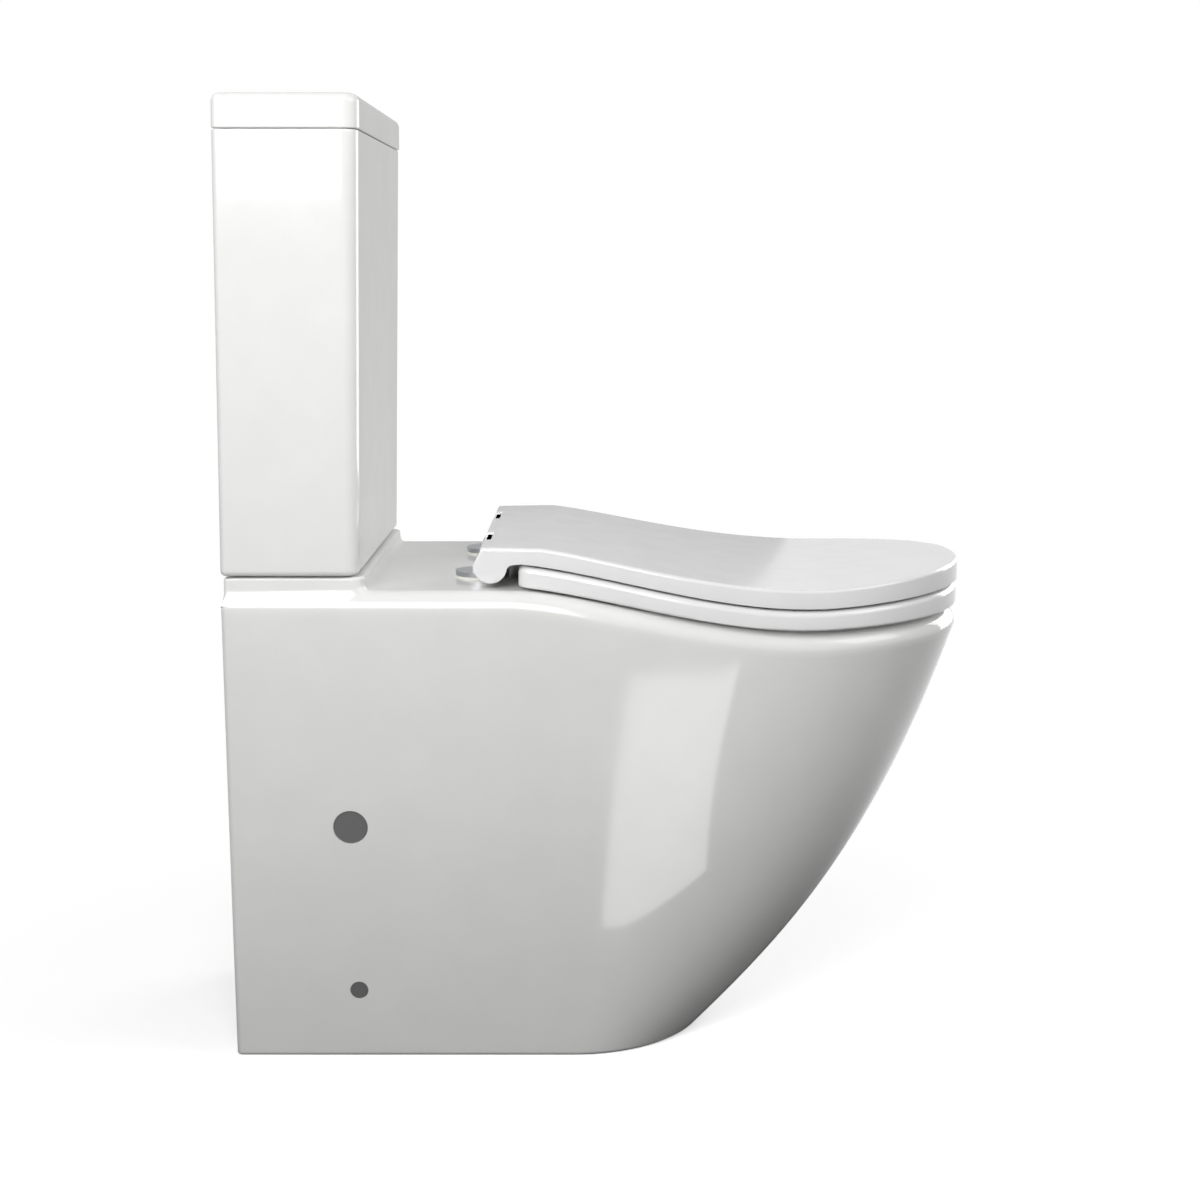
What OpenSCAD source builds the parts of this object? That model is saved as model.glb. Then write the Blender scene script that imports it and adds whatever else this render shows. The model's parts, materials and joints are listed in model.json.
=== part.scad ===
// Close coupled toilet: back-to-wall pan, slim cistern, wrap-over seat and the fittings inside them.
// X is across the toilet, -Y is its front, +Y is the wall, and Z = 0 is the floor.

/* [Overall] */
// Height of the closed cistern above the floor
overall_height = 840; // [740:1:1010]
// Depth from the wall to the tip of the seat
overall_depth = 650; // [600:1:780]
// Height of the plinth that the cistern stands on
pan_height = 433; // [390:1:470]

/* [Pan] */
// Width of the rim at its widest
rim_width = 354; // [340:1:380]
// Width of the pan's deck at the wall
deck_width = 346; // [320:1:352]
// Width of the foot on the floor
foot_width = 256; // [220:1:300]
// Distance from the wall to the front of the foot
foot_depth = 415; // [380:1:470]
// Wall thickness of the skirt and bowl
ware_wall = 12; // [9:0.5:14]
// Thickness of the deck and rim
deck_wall = 14; // [11:0.5:16]
// Rise of the plinth above the deck
plinth_rise = 12; // [8:0.5:15]
// How far the rim dips below the deck, at its lowest
rim_dip = 36; // [20:1:42]
// Width of the bowl's mouth
bowl_width = 236; // [200:1:250]
// Length of the bowl's mouth
bowl_length = 268; // [230:1:280]
// Radius of the waste spigot outside
spigot_radius = 51; // [49:0.5:55]
// Height of the waste spigot's centre above the floor
spigot_height = 180; // [175:1:190]

/* [Seat] */
// Widest width of the seat ring and lid
seat_width = 360; // [345:1:384]
// Distance from the wall to the hinge pins
hinge_from_wall = 228; // [215:1:240]
// Spacing of the two hinges
hinge_spacing = 155; // [140:1:186]
// Height of the hinge pins above the deck
hinge_height = 20; // [18:0.5:24]
// Edge thickness of the seat ring
ring_thickness = 18.5; // [15:0.5:22]
// Edge thickness of the seat lid
lid_thickness = 14.5; // [13:0.5:17.5]
// Radius of the hinge pins
hinge_pin_radius = 4; // [3:0.25:5]

/* [Cistern] */
// Width of the cistern lid
cistern_width = 367; // [345:1:400]
// Depth of the cistern lid from the wall
cistern_depth = 122; // [116:1:146]
// Thickness of the cistern lid at its edge
cistern_lid_height = 30; // [24:1:36]
// Wall thickness of the cistern
tank_wall = 9; // [7:0.5:11]
// Height of the hollow under the cistern's floor
tank_recess = 27; // [24:1:32]
// Spacing of the two coupling bolts
coupling_spacing = 146; // [140:1:152]
// Distance from the middle to the water inlet
inlet_offset = 122; // [118:1:128]

/* [Flush] */
// Radius of the round hole for the flush buttons
button_hole_radius = 24.5; // [22:0.5:28]
// Travel of the flush buttons
button_travel = 5; // [3:0.5:7]
// Lift of the flush valve for each millimetre of button travel
valve_lift_ratio = 3; // [2:0.5:4]
// Travel of the fill valve's float
float_travel = 12; // [8:1:14]

/* [Hidden] */
$fn = 48;

glaze = "#f4f4f2";
seat_white = "#f7f7f6";
steel = "#9da0a3";
cap_grey = "#6a6a6a";
nylon = "#e9e8e2";
rubber = "#2b2b2c";
valve_blue = "#7f93a6";
chrome = "#c9ccd0";

overlap = 1;          // how far a cutting shape runs past the face that it cuts
running = 0.06;       // radial clearance of a pin or rod that turns or slides in its hole
touch_gap = 0.3;      // gap left between moving pieces that rest on each other

// ---- Reference lines ----
wall_y = overall_depth / 2;
seat_front_y = -overall_depth / 2;
rim_front_y = seat_front_y + 2;
foot_front_y = wall_y - foot_depth;
deck_z = pan_height - plinth_rise;
hinge_y = wall_y - hinge_from_wall;
hinge_z = deck_z + hinge_height;
hinge_x = hinge_spacing / 2;

// The seat's wave: level at the hinge, lowest at wave_low_y and a little higher at the tip.
wave_start_y = hinge_y - 17;
lid_wave_start_y = hinge_y - 44;
wave_low_y = seat_front_y + 135;
front_rise = 4;
ring_slim = 1.5;      // how much thinner the ring is where it is lowest
ring_nose = 3.5;      // how much thicker the ring is at its tip
lid_dip = 34.5;
lid_nose = 10.5;
seat_gap = 2.5;       // rim to ring, filled by the ring buffers
lid_gap = 1.8;        // ring to lid, filled by the lid buffers

function clamp01(u) = max(0, min(1, u));
function lerp(a, b, u) = a + (b - a) * u;
function wave(y, start_y, power) =
    pow(sin(90 * clamp01((start_y - y) / (start_y - wave_low_y))), power);
function nose(y) = pow(clamp01((wave_low_y - y) / (wave_low_y - seat_front_y)), 1.35);

function rim_z(y) = deck_z - rim_dip * wave(y, wave_start_y, 1.5) + front_rise * nose(y);
function ring_bottom_z(y) = rim_z(y) + seat_gap;
function ring_top_z(y) = ring_bottom_z(y) + ring_thickness
    - ring_slim * wave(y, wave_start_y, 1.5) + ring_nose * nose(y);
function lid_bottom_z(y) = ring_top_z(y) + lid_gap;
function lid_top_z(y) = lid_bottom_z(wave_start_y) + lid_thickness - 1
    - lid_dip * wave(y, lid_wave_start_y, 1.2) + lid_nose * nose(y);

// ---- Outlines in plan ----
front_steps = 11;
side_steps = 8;
corner_steps = 2;
rear_steps = 3;

// Right half of an outline, from the middle of its front to the middle of its back, in by some distance.
function half_outline(rear_w, mid_w, rear_y, mid_y, front_y, corner, roundness, in) =
    let (rw = rear_w - in, mw = mid_w - in, ry = rear_y - in, fy = front_y + in, c = max(0.5, corner - in))
    concat(
        [for (i = [0:front_steps]) let (a = 90 * i / front_steps)
            [mw * pow(sin(a), 2 / roundness), mid_y - (mid_y - fy) * pow(cos(a), 2 / roundness)]],
        [for (i = [1:side_steps]) let (u = i / side_steps) [lerp(rw, mw, cos(90 * u)), lerp(mid_y, ry - c, u)]],
        [for (i = [1:corner_steps]) let (a = 90 * i / corner_steps)
            [rw - c + c * cos(a), ry - c + c * sin(a)]],
        [for (i = [1:rear_steps]) [(rw - c) * (1 - i / rear_steps), ry]]);

// A closed outline from its right half.
function mirrored(half) = concat(half, [for (i = [len(half) - 2:-1:1]) [-half[i].x, half[i].y]]);

function blend_rings(a, b, u) = [for (i = [0:len(a) - 1]) lerp(a[i], b[i], u)];
function at_z(points, z) = [for (p = points) [p.x, p.y, z]];

// Triangles that join each ring of n points to the next, from ring number first to last.
function bands(n, first, last) = [for (j = [first:last]) for (i = [0:n - 1]) for (lower = [true, false])
    let (a = j * n + i, b = j * n + (i + 1) % n) lower ? [a, a + n, b] : [b, a + n, b + n]];
function middle(ring) = [for (k = [0:2])
    (min([for (p = ring) p[k]]) + max([for (p = ring) p[k]])) / 2];

// One closed solid from a stack of rings with equal numbers of points, closed by a fan at each end.
module stacked(rings) {
    n = len(rings[0]);
    count = len(rings);
    polyhedron(
        points = concat([for (ring = rings) for (p = ring) p], [middle(rings[0]), middle(rings[count - 1])]),
        faces = concat(
            bands(n, 0, count - 2),
            [for (i = [0:n - 1]) [i, (i + 1) % n, count * n]],
            [for (i = [0:n - 1]) [(count - 1) * n + (i + 1) % n, (count - 1) * n + i, count * n + 1]]),
        convexity = 8);
}

// One closed solid from rings that run round a hole, where the last ring joins the first.
module looped(rings) {
    n = len(rings[0]);
    total = n * len(rings);
    polyhedron(
        points = [for (ring = rings) for (p = ring) p],
        faces = [for (f = bands(n, 0, len(rings) - 1)) [for (k = f) k % total]],
        convexity = 8);
}

// ---- Pan ----
rim_radius = 16;
pan_corner = 5;
foot_mid_y = foot_front_y + 116;
rim_mid_y = seat_front_y + 215;
rim_roundness = 2.15;
keel_bow = 0.58;
keel_skew = 0.15;     // fuller towards the foot than towards the rim
side_bow = 0.12;

// Outline of the skirt at the height fraction s, 0 at the floor and 1 at the rim.
function skirt_outline(s, in) =
    let (spread = s + side_bow * s * (1 - s), reach = s + s * (1 - s) * (keel_bow + keel_skew * (1 - 2 * s)))
        mirrored(half_outline(
            lerp(foot_width, deck_width, spread) / 2, lerp(foot_width, rim_width, spread) / 2,
            wall_y, lerp(foot_mid_y, rim_mid_y, s), lerp(foot_front_y, rim_front_y, reach),
            pan_corner, lerp(2, rim_roundness, s), in));
function skirt_half_width(z) = let (s = z / (deck_z - rim_radius))
    lerp(foot_width, deck_width, s + side_bow * s * (1 - s)) / 2;
function skirt_lean(z) = atan(skirt_half_width(z + 0.5) - skirt_half_width(z - 0.5));

function skirt_ring(s, drop, in) = [for (p = skirt_outline(s, in))
    [p.x, p.y, s * (rim_z(p.y) - drop)]];
function top_ring(points, drop) = [for (p = points) [p.x, p.y, rim_z(p.y) - drop]];

// The bowl: each row is its height above the sump's floor, half width, and front and rear places.
bowl_front_y = seat_front_y + 62;
bowl_rear_y = bowl_front_y + bowl_length;
sump_z = 76;
bowl_rows = [
    [224, 105, 23, -5],
    [174, 82, 68, -9],
    [129, 60, 121, -12],
    [84, 48, 156, -13],
    [24, 42, 174, -15],
    [0, 30, 190, -26]];
rim_wall_depth = 42;

function bowl_ring(half_width, front_y, rear_y) =
    let (mid_y = lerp(front_y, rear_y, 0.48), half = [for (i = [0:half_points - 1])
        let (a = 180 * i / (half_points - 1))
            [half_width * sin(a), mid_y - (a < 90 ? mid_y - front_y : rear_y - mid_y) * cos(a)]])
        mirrored(half);
half_points = front_steps + side_steps + corner_steps + rear_steps + 1;

function bowl_mouth(grow) =
    bowl_ring(bowl_width / 2 + grow, bowl_front_y - grow, bowl_rear_y + grow);
function bowl_row(row, grow) = at_z(
    bowl_ring(row[1] + grow, bowl_front_y + row[2] - grow, bowl_rear_y + row[3] + grow),
    sump_z + row[0] - (row[0] == 0 ? grow : 0));

land_steps = [0, 0.15, 0.3, 0.45, 0.6, 0.7, 0.8, 0.9, 1];
under_steps = [1, 0.9, 0.8, 0.7, 0.6, 0.45, 0.3, 0.15, 0];
skirt_levels = [for (i = [0:10]) i / 11];
mouth_radius = 8;

module pan_shell() {
    shoulder = skirt_outline(1, rim_radius);
    under = skirt_outline(1, ware_wall);
    rows = len(bowl_rows) - 1;
    levels = len(skirt_levels) - 1;
    stacked(concat(
        // up the outside of the bowl and out under the deck
        [for (i = [rows:-1:0]) bowl_row(bowl_rows[i], ware_wall)],
        [top_ring(bowl_mouth(ware_wall - 2), rim_wall_depth)],
        [for (u = under_steps) top_ring(blend_rings(under, bowl_mouth(ware_wall), u), deck_wall)],
        // down the inside of the skirt, and up its outside
        [for (i = [levels:-1:0]) skirt_ring(skirt_levels[i], deck_wall + 2, ware_wall)],
        [for (s = skirt_levels) skirt_ring(s, rim_radius, 0)],
        // over the rounded edge and across the deck and rim
        [for (a = [0, 30, 60]) top_ring(skirt_outline(1, rim_radius * (1 - cos(a))),
            rim_radius * (1 - sin(a)))],
        [for (u = land_steps) top_ring(blend_rings(shoulder, bowl_mouth(mouth_radius), u), 0)],
        // over the mouth's edge and down the inside of the bowl to the sump
        [top_ring(bowl_mouth(mouth_radius * (1 - cos(45))), mouth_radius * (1 - sin(45)))],
        [top_ring(bowl_mouth(0), mouth_radius), top_ring(bowl_mouth(-2), rim_wall_depth)],
        [for (row = bowl_rows) bowl_row(row, 0)]));
}

// A pipe whose centre line runs through [y, z, heading] stations in the plane of the toilet's middle.
pipe_sides = 20;
module bent_pipe(stations, radius) {
    stacked([for (p = stations) [for (i = [0:pipe_sides - 1]) let (a = 360 * i / pipe_sides)
        [radius * cos(a), p.x + radius * sin(a) * sin(p.z), p.y - radius * sin(a) * cos(p.z)]]]);
}
module pipe_along(from, length, pipe_radius) {
    translate([0, from.x, from.y]) rotate([-90, 0, 0]) cylinder(r = pipe_radius, h = length);
}
// Stations round an arc about a centre, between two headings, on its inside or outside.
arc_steps = 6;
function arc(centre, bend_radius, from, to) = [for (i = [0:arc_steps])
    let (h = lerp(from, to, i / arc_steps), side = to > from ? 1 : -1)
        [centre.x + side * bend_radius * sin(h), centre.y - side * bend_radius * cos(h), h]];

// The trapway runs back from the sump, climbs to its weir and falls to the spigot.
trap_bore = 39;
trap_wall = 9;
trap_in_radius = 55;
trap_top_radius = 46;
trap_out_radius = 46;
trap_climb = 80;
trap_fall = 50;
water_seal_z = 205;
spigot_end_y = wall_y - 63;
spigot_length = 56;
trap_floor_z = sump_z + trap_bore;
trap_crest_z = water_seal_z + trap_bore;
spigot_start_y = spigot_end_y - spigot_length;
fall_end_y = spigot_start_y - 4;
fall_start = [fall_end_y - trap_out_radius * sin(trap_fall),
    spigot_height + trap_out_radius * (1 - cos(trap_fall))];
crest_fall_z = trap_crest_z - trap_top_radius * (1 - cos(trap_fall));
fall_length = (crest_fall_z - fall_start.y) / sin(trap_fall);
crest_fall_y = fall_start.x - fall_length * cos(trap_fall);
crest_y = crest_fall_y - trap_top_radius * sin(trap_fall);
climb_end = [crest_y - trap_top_radius * sin(trap_climb),
    trap_crest_z - trap_top_radius * (1 - cos(trap_climb))];
climb_start_z = trap_floor_z + trap_in_radius * (1 - cos(trap_climb));
climb_length = (climb_end.y - climb_start_z) / sin(trap_climb);
climb_start_y = climb_end.x - climb_length * cos(trap_climb);
trap_in_y = climb_start_y - trap_in_radius * sin(trap_climb);
sump_mid_y = bowl_rear_y - 45;

trap_stations = concat(
    arc([trap_in_y, trap_floor_z + trap_in_radius], trap_in_radius, 0, trap_climb),
    arc([crest_y, trap_crest_z - trap_top_radius], trap_top_radius, trap_climb, -trap_fall),
    arc([fall_end_y, spigot_height + trap_out_radius], trap_out_radius, -trap_fall, 0));
module trapway(radius, start_y, past) {
    bent_pipe(concat([[start_y, trap_floor_z, 0]], trap_stations,
        [[fall_end_y + past, spigot_height, 0]]), radius);
}

// The flush channel carries water from under the cistern to the back of the bowl.
cistern_mid_y = wall_y - cistern_depth / 2 + 1;
inlet_well_radius = 27;
channel_radius = 20;
channel_z = deck_z - 39;
channel_wall = 8;

module flush_channel(grow, start_y, top_z) {
    translate([0, cistern_mid_y, channel_z - channel_radius - grow])
        cylinder(r = inlet_well_radius + grow, h = top_z - channel_z + channel_radius + grow);
    pipe_along([start_y, channel_z], cistern_mid_y - start_y, channel_radius + grow);
}

// Holes through the deck and the skirt.
hinge_bolt_hole = 7;
coupling_hole = 6;
inlet_notch_radius = 21;
plinth_inset = 5;
plinth_corner = 12;
plinth_depth = cistern_depth - 1;

module plinth() {
    half = deck_width / 2 - plinth_inset - plinth_corner;
    depth = plinth_depth - plinth_corner;
    translate([0, 0, deck_z - deck_wall / 2])
        linear_extrude(deck_wall / 2 + plinth_rise) {
            translate([-half, wall_y - plinth_depth]) square([2 * half, plinth_depth - 2]);
            translate([-half - plinth_corner, wall_y - depth])
                square([2 * (half + plinth_corner), depth - 2]);
            for (side = [-1, 1]) translate([side * half, wall_y - depth]) circle(plinth_corner);
        }
}

skirt_back_flange = 30;
back_opening_top = deck_z - 44;
module back_opening() {
    low = foot_width / 2 - skirt_back_flange;
    high = skirt_half_width(back_opening_top) - skirt_back_flange;
    translate([0, wall_y + overlap, 0]) rotate([90, 0, 0])
        linear_extrude(ware_wall + 2 * overlap + 4)
            polygon([[-low, -overlap], [low, -overlap], [high, back_opening_top], [-high, back_opening_top]]);
}

// The side holes lie square to the leaning skirt, one pair above the other.
large_hole_z = 213;
large_hole_radius = 15;
large_hole_from_wall = 106;
small_hole_z = 62;
small_hole_radius = 8;
small_hole_from_wall = 110;
side_screw_radius = 3;
side_screw_head = 6.5;
cap_depth = 3;
cap_lip = 3;

module on_skirt(z, from_wall) {
    for (side = [0, 1]) mirror([side, 0, 0])
        translate([skirt_half_width(z), wall_y - from_wall, z])
            rotate([0, 90 + skirt_lean(z), 0]) children();
}
module at_sides(x) {
    for (side = [-1, 1]) translate([side * x, 0, 0]) children();
}

module pan() {
    color(glaze) difference() {
        union() {
            pan_shell();
            plinth();
            trapway(trap_bore + trap_wall, bowl_rear_y - 8, 12);
            pipe_along([spigot_start_y, spigot_height], spigot_length, spigot_radius);
            flush_channel(channel_wall, bowl_rear_y + 4, deck_z - deck_wall / 4);
        }
        trapway(trap_bore, sump_mid_y, 14);
        pipe_along([spigot_start_y + 7, spigot_height], spigot_length, trap_bore + 0.5);
        flush_channel(0, bowl_rear_y - 8, pan_height + overlap);
        back_opening();
        at_sides(hinge_x) translate([0, hinge_y + disc_back, deck_z - deck_wall - 4])
            cylinder(r = hinge_bolt_hole, h = deck_wall + 8);
        at_sides(coupling_spacing / 2) translate([0, cistern_mid_y, deck_z - deck_wall - overlap])
            cylinder(r = coupling_hole, h = deck_wall + plinth_rise + 2 * overlap);
        at_sides(inlet_offset) translate([0, cistern_mid_y, deck_z - deck_wall - overlap])
            cylinder(r = inlet_notch_radius, h = deck_wall + plinth_rise + 2 * overlap);
        on_skirt(large_hole_z, large_hole_from_wall) translate([0, 0, -ware_wall - 4])
            cylinder(r = large_hole_radius, h = ware_wall + 8);
        on_skirt(small_hole_z, small_hole_from_wall) translate([0, 0, -ware_wall / 2])
            cylinder(r = small_hole_radius, h = ware_wall);
        on_skirt(small_hole_z, small_hole_from_wall) translate([0, 0, -ware_wall - 4])
            cylinder(r = side_screw_radius + 1, h = ware_wall);
    }
}

module side_caps_large() {
    color(cap_grey) on_skirt(large_hole_z, large_hole_from_wall) difference() {
        translate([0, 0, -ware_wall + 3])
            cylinder(r = large_hole_radius - touch_gap / 2, h = ware_wall - 3);
        translate([0, 0, -ware_wall - overlap])
            cylinder(r = large_hole_radius - cap_lip, h = ware_wall + overlap - cap_depth);
    }
}
module side_caps_small() {
    color(cap_grey) on_skirt(small_hole_z, small_hole_from_wall) translate([0, 0, -cap_depth])
        cylinder(r = small_hole_radius - touch_gap / 2, h = cap_depth);
}

// ---- Floor fixing ----
bracket_clearance = 3;
bracket_depth = 30;
bracket_block = 26;
bracket_height = 82;
bracket_base = 58;
bracket_sole = 6;
anchor_hole_radius = 4;
screw_length = 34;

bracket_x = skirt_half_width(small_hole_z - 18) - ware_wall - bracket_clearance - 4;
anchor_x = bracket_x - bracket_base + 14;

module floor_brackets() {
    color(nylon) difference() {
        for (side = [0, 1]) mirror([side, 0, 0]) translate([0, wall_y - small_hole_from_wall, 0]) {
            translate([bracket_x - bracket_block, -bracket_depth / 2, 0])
                cube([bracket_block, bracket_depth, bracket_height]);
            translate([bracket_x - bracket_base, -bracket_depth / 2, 0])
                cube([bracket_base, bracket_depth, bracket_sole]);
        }
        on_skirt(small_hole_z, small_hole_from_wall) translate([0, 0, -screw_length - 8])
            cylinder(r = side_screw_radius, h = screw_length);
        at_sides(anchor_x) translate([0, wall_y - small_hole_from_wall, -overlap])
            cylinder(r = anchor_hole_radius, h = bracket_sole + 2 * overlap);
    }
}
module side_screws() {
    color(steel) on_skirt(small_hole_z, small_hole_from_wall) {
        translate([0, 0, -ware_wall / 2]) cylinder(r = side_screw_head, h = 2.5);
        translate([0, 0, -screw_length]) cylinder(r = side_screw_radius, h = screw_length - ware_wall / 2);
    }
}

// ---- Cistern ----
tank_bottom_z = pan_height + 1.5;
tank_top_z = overall_height - cistern_lid_height;
tank_floor_z = tank_bottom_z + tank_recess;
tank_floor = 10;
tank_inside_z = tank_floor_z + tank_floor;
tank_taper = 8.5;
tank_front_taper = 4;
tank_corner = 15;
tank_edge = 5;
tank_top_edge = 2;
lid_rest_gap = 0.4;

// Ring of a box with rounded corners, flat against the wall, in by some distance on every side.
function tank_ring(half_width, depth, z, in) = let (
        steps = 4, c = max(1, tank_corner - in), r = max(0.5, tank_corner / 3 - in),
        x = half_width - in, front_y = wall_y - depth + in, rear_y = wall_y - in) at_z(concat(
    [for (i = [0:steps]) let (a = 90 * i / steps) [x - c + c * sin(a), front_y + c - c * cos(a)]],
    [for (i = [0:steps]) let (a = 90 * i / steps) [x - r + r * cos(a), rear_y - r + r * sin(a)]],
    [for (i = [steps:-1:0]) let (a = 90 * i / steps) [-x + r - r * cos(a), rear_y - r + r * sin(a)]],
    [for (i = [steps:-1:0]) let (a = 90 * i / steps) [-x + c - c * sin(a), front_y + c - c * cos(a)]]), z);

// The tank tapers from its top edge at u = 0 to its foot at u = 1.
function tank_outline(u, z, in) = tank_ring(cistern_width / 2 - 1 - tank_taper * u,
    cistern_depth - 1 - tank_front_taper * u, z, in);
function lid_outline(z, in) = tank_ring(cistern_width / 2, cistern_depth, z, in);

module cistern_tank() {
    color(glaze) difference() {
        stacked(concat(
            [tank_outline(1, tank_floor_z, tank_wall + 2), tank_outline(1, tank_bottom_z, tank_wall + 2)],
            [for (a = [90, 60, 30, 0]) tank_outline(1, tank_bottom_z + tank_edge * (1 - sin(a)),
                tank_edge * (1 - cos(a)))],
            [for (a = [0, 45, 90]) tank_outline(0, tank_top_z - tank_top_edge * (1 - sin(a)),
                tank_top_edge * (1 - cos(a)))],
            [tank_outline(0, tank_top_z, tank_wall), tank_outline(0.9, tank_inside_z, tank_wall)]));
        translate([0, cistern_mid_y, tank_floor_z - overlap]) {
            cylinder(r = valve_thread + 2, h = tank_floor + 2 * overlap);
            at_sides(coupling_spacing / 2) cylinder(r = coupling_hole, h = tank_floor + 2 * overlap);
            translate([inlet_offset, 0, 0]) cylinder(r = tail_radius + 0.6, h = tank_floor + 2 * overlap);
        }
    }
}

lid_edge = 8;
lid_low_edge = 1.5;
lid_ware = 9;
lid_locator = 8;
lid_fit = 2;

module cistern_lid() {
    low_z = tank_top_z + lid_rest_gap;
    locator = tank_wall + 1 + lid_fit;
    color(glaze) difference() {
        stacked(concat(
            [for (z = [overall_height - lid_ware, low_z - lid_locator]) lid_outline(z, locator + lid_ware)],
            [for (z = [low_z - lid_locator, low_z]) lid_outline(z, locator)],
            [for (a = [90, 45, 0]) lid_outline(low_z + lid_low_edge * (1 - sin(a)),
                lid_low_edge * (1 - cos(a)))],
            [for (a = [0, 30, 60, 90]) lid_outline(overall_height - lid_edge * (1 - sin(a)),
                lid_edge * (1 - cos(a)))]));
        translate([0, cistern_mid_y, overall_height - lid_ware - overlap])
            cylinder(r = button_hole_radius, h = lid_ware + 2 * overlap);
    }
}

// ---- Seat ----
lid_rear_y = hinge_y + 9;
ring_rear_y = hinge_y - 23;
seat_rear_width = 316;
seat_mid_y = seat_front_y + 205;
seat_roundness = 2.15;
lid_corner = 5;
ring_corner = 12;
ring_inset = 1;
ring_opening_width = 212;
lid_plate = 6;
lid_rim = 8;
lid_crown = 1.5;
lid_edge_radius = 3;
barrel_radius = hinge_height - 5.5;
ear_radius = 9.5;
ear_width = 12;
ear_plate_overrun = 2; // how far behind the hinge the lid's plate ends above the posts
post_width = 25;
side_gap = 1;         // free space beside each turning ear
lid_centre = [0, seat_mid_y + 30];

function seat_half_width(y) = lerp(seat_rear_width, seat_width,
    cos(90 * clamp01((y - seat_mid_y) / (lid_rear_y - seat_mid_y)))) / 2;
function seat_outline(rear_y, corner, in) = mirrored(half_outline(seat_half_width(rear_y),
    seat_width / 2, rear_y, seat_mid_y, seat_front_y, corner, seat_roundness, in));
function ring_opening(grow) = bowl_ring(ring_opening_width / 2 + grow,
    bowl_front_y + 11 - grow, bowl_rear_y - 12 + grow);
function on_ring_top(points, dz) = [for (p = points) [p.x, p.y, ring_top_z(p.y) + dz]];
function on_ring_bottom(points, dz) = [for (p = points) [p.x, p.y, ring_bottom_z(p.y) + dz]];
function on_lid_top(points, dz) = [for (p = points) [p.x, p.y, lid_top_z(p.y) + dz]];
function on_lid_bottom(points, dz) = [for (p = points) [p.x, p.y, lid_bottom_z(p.y) + dz]];
function drawn_in(points, u) = [for (p = points) lerp(p, lid_centre, u)];

module ear(x, radius) {
    translate([x, hinge_y, hinge_z]) rotate([0, 90, 0]) cylinder(r = radius, h = ear_width);
}
module pin_bore(r) {
    translate([-seat_width / 2, hinge_y, hinge_z]) rotate([0, 90, 0])
        cylinder(r = r, h = seat_width);
}
module each_side() {
    for (side = [0, 1]) mirror([side, 0, 0]) children();
}
ear_in_x = hinge_x - post_width / 2 - side_gap - ear_width;
ear_out_x = hinge_x + post_width / 2 + side_gap;

module seat_ring() {
    function out_by(d) = seat_outline(ring_rear_y, ring_corner, ring_inset + d);
    color(seat_white) difference() {
        union() {
            looped([
                on_ring_bottom(out_by(0), 2.5), on_ring_top(out_by(0), -6),
                on_ring_top(out_by(1.8), -1.8), on_ring_top(out_by(6), 0),
                on_ring_top(blend_rings(out_by(6), ring_opening(7), 0.35), 0.8),
                on_ring_top(blend_rings(out_by(6), ring_opening(7), 0.7), 0.4),
                on_ring_top(ring_opening(7), -1.5), on_ring_top(ring_opening(1.5), -5),
                on_ring_bottom(ring_opening(0), 4), on_ring_bottom(ring_opening(3), 0),
                on_ring_bottom(blend_rings(out_by(2.5), ring_opening(3), 0.5), 0),
                on_ring_bottom(out_by(2.5), 0)]);
            each_side() {
                ear(ear_in_x, ear_radius);
                translate([ear_in_x, ring_rear_y - 10, hinge_z - ear_radius])
                    cube([ear_width, hinge_y - ring_rear_y + 10, 1.6 * ear_radius]);
            }
        }
        pin_bore(hinge_pin_radius + running);
    }
}

module seat_lid() {
    function out_by(d) = seat_outline(lid_rear_y, lid_corner, d);
    plate_z = lid_top_z(hinge_y) - lid_plate;
    notch_x = ear_in_x - side_gap;
    notch_width = post_width + 2 * ear_width + 4 * side_gap;
    barrel_half = seat_half_width(hinge_y) - 1;
    color(seat_white) difference() {
        union() {
            difference() {
                union() {
                    stacked(concat(
                        [for (u = [0.9, 0.65, 0.4, 0.2]) on_lid_top(drawn_in(out_by(lid_rim), u),
                            lid_crown * (1 - pow(1 - u, 2)) - lid_plate)],
                        [on_lid_top(out_by(lid_rim), -lid_plate), on_lid_bottom(out_by(lid_rim), 1)],
                        [on_lid_bottom(out_by(lid_rim - 1), 0), on_lid_bottom(out_by(1), 0)],
                        [on_lid_bottom(out_by(0), 1)],
                        [for (a = [0, 45, 90]) on_lid_top(out_by(lid_edge_radius * (1 - cos(a))),
                            -lid_edge_radius * (1 - sin(a)))],
                        [for (u = [0.15, 0.4, 0.65, 0.9]) on_lid_top(drawn_in(out_by(lid_edge_radius), u),
                            lid_crown * (1 - pow(1 - u, 2)))]));
                    translate([-barrel_half, hinge_y, hinge_z]) rotate([0, 90, 0])
                        cylinder(r = barrel_radius, h = 2 * barrel_half);
                }
                each_side() {
                    translate([notch_x, hinge_y - 30, deck_z]) cube([notch_width, 80, plate_z - deck_z]);
                    translate([notch_x, hinge_y + ear_plate_overrun, deck_z]) cube([notch_width, 80, 60]);
                }
            }
            each_side() {
                ear(ear_out_x, ear_radius);
                translate([ear_out_x, hinge_y - ear_radius, hinge_z])
                    cube([ear_width, 1.5 * ear_radius, plate_z + overlap - hinge_z]);
            }
        }
        pin_bore(hinge_pin_radius + running);
    }
}

// Rubber feet under the ring stand on the rim; those under the lid stand on the ring.
buffer_radius = 7;
buffer_places = [seat_front_y + 70, seat_front_y + 300];
buffer_sink = 1.5;

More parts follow.
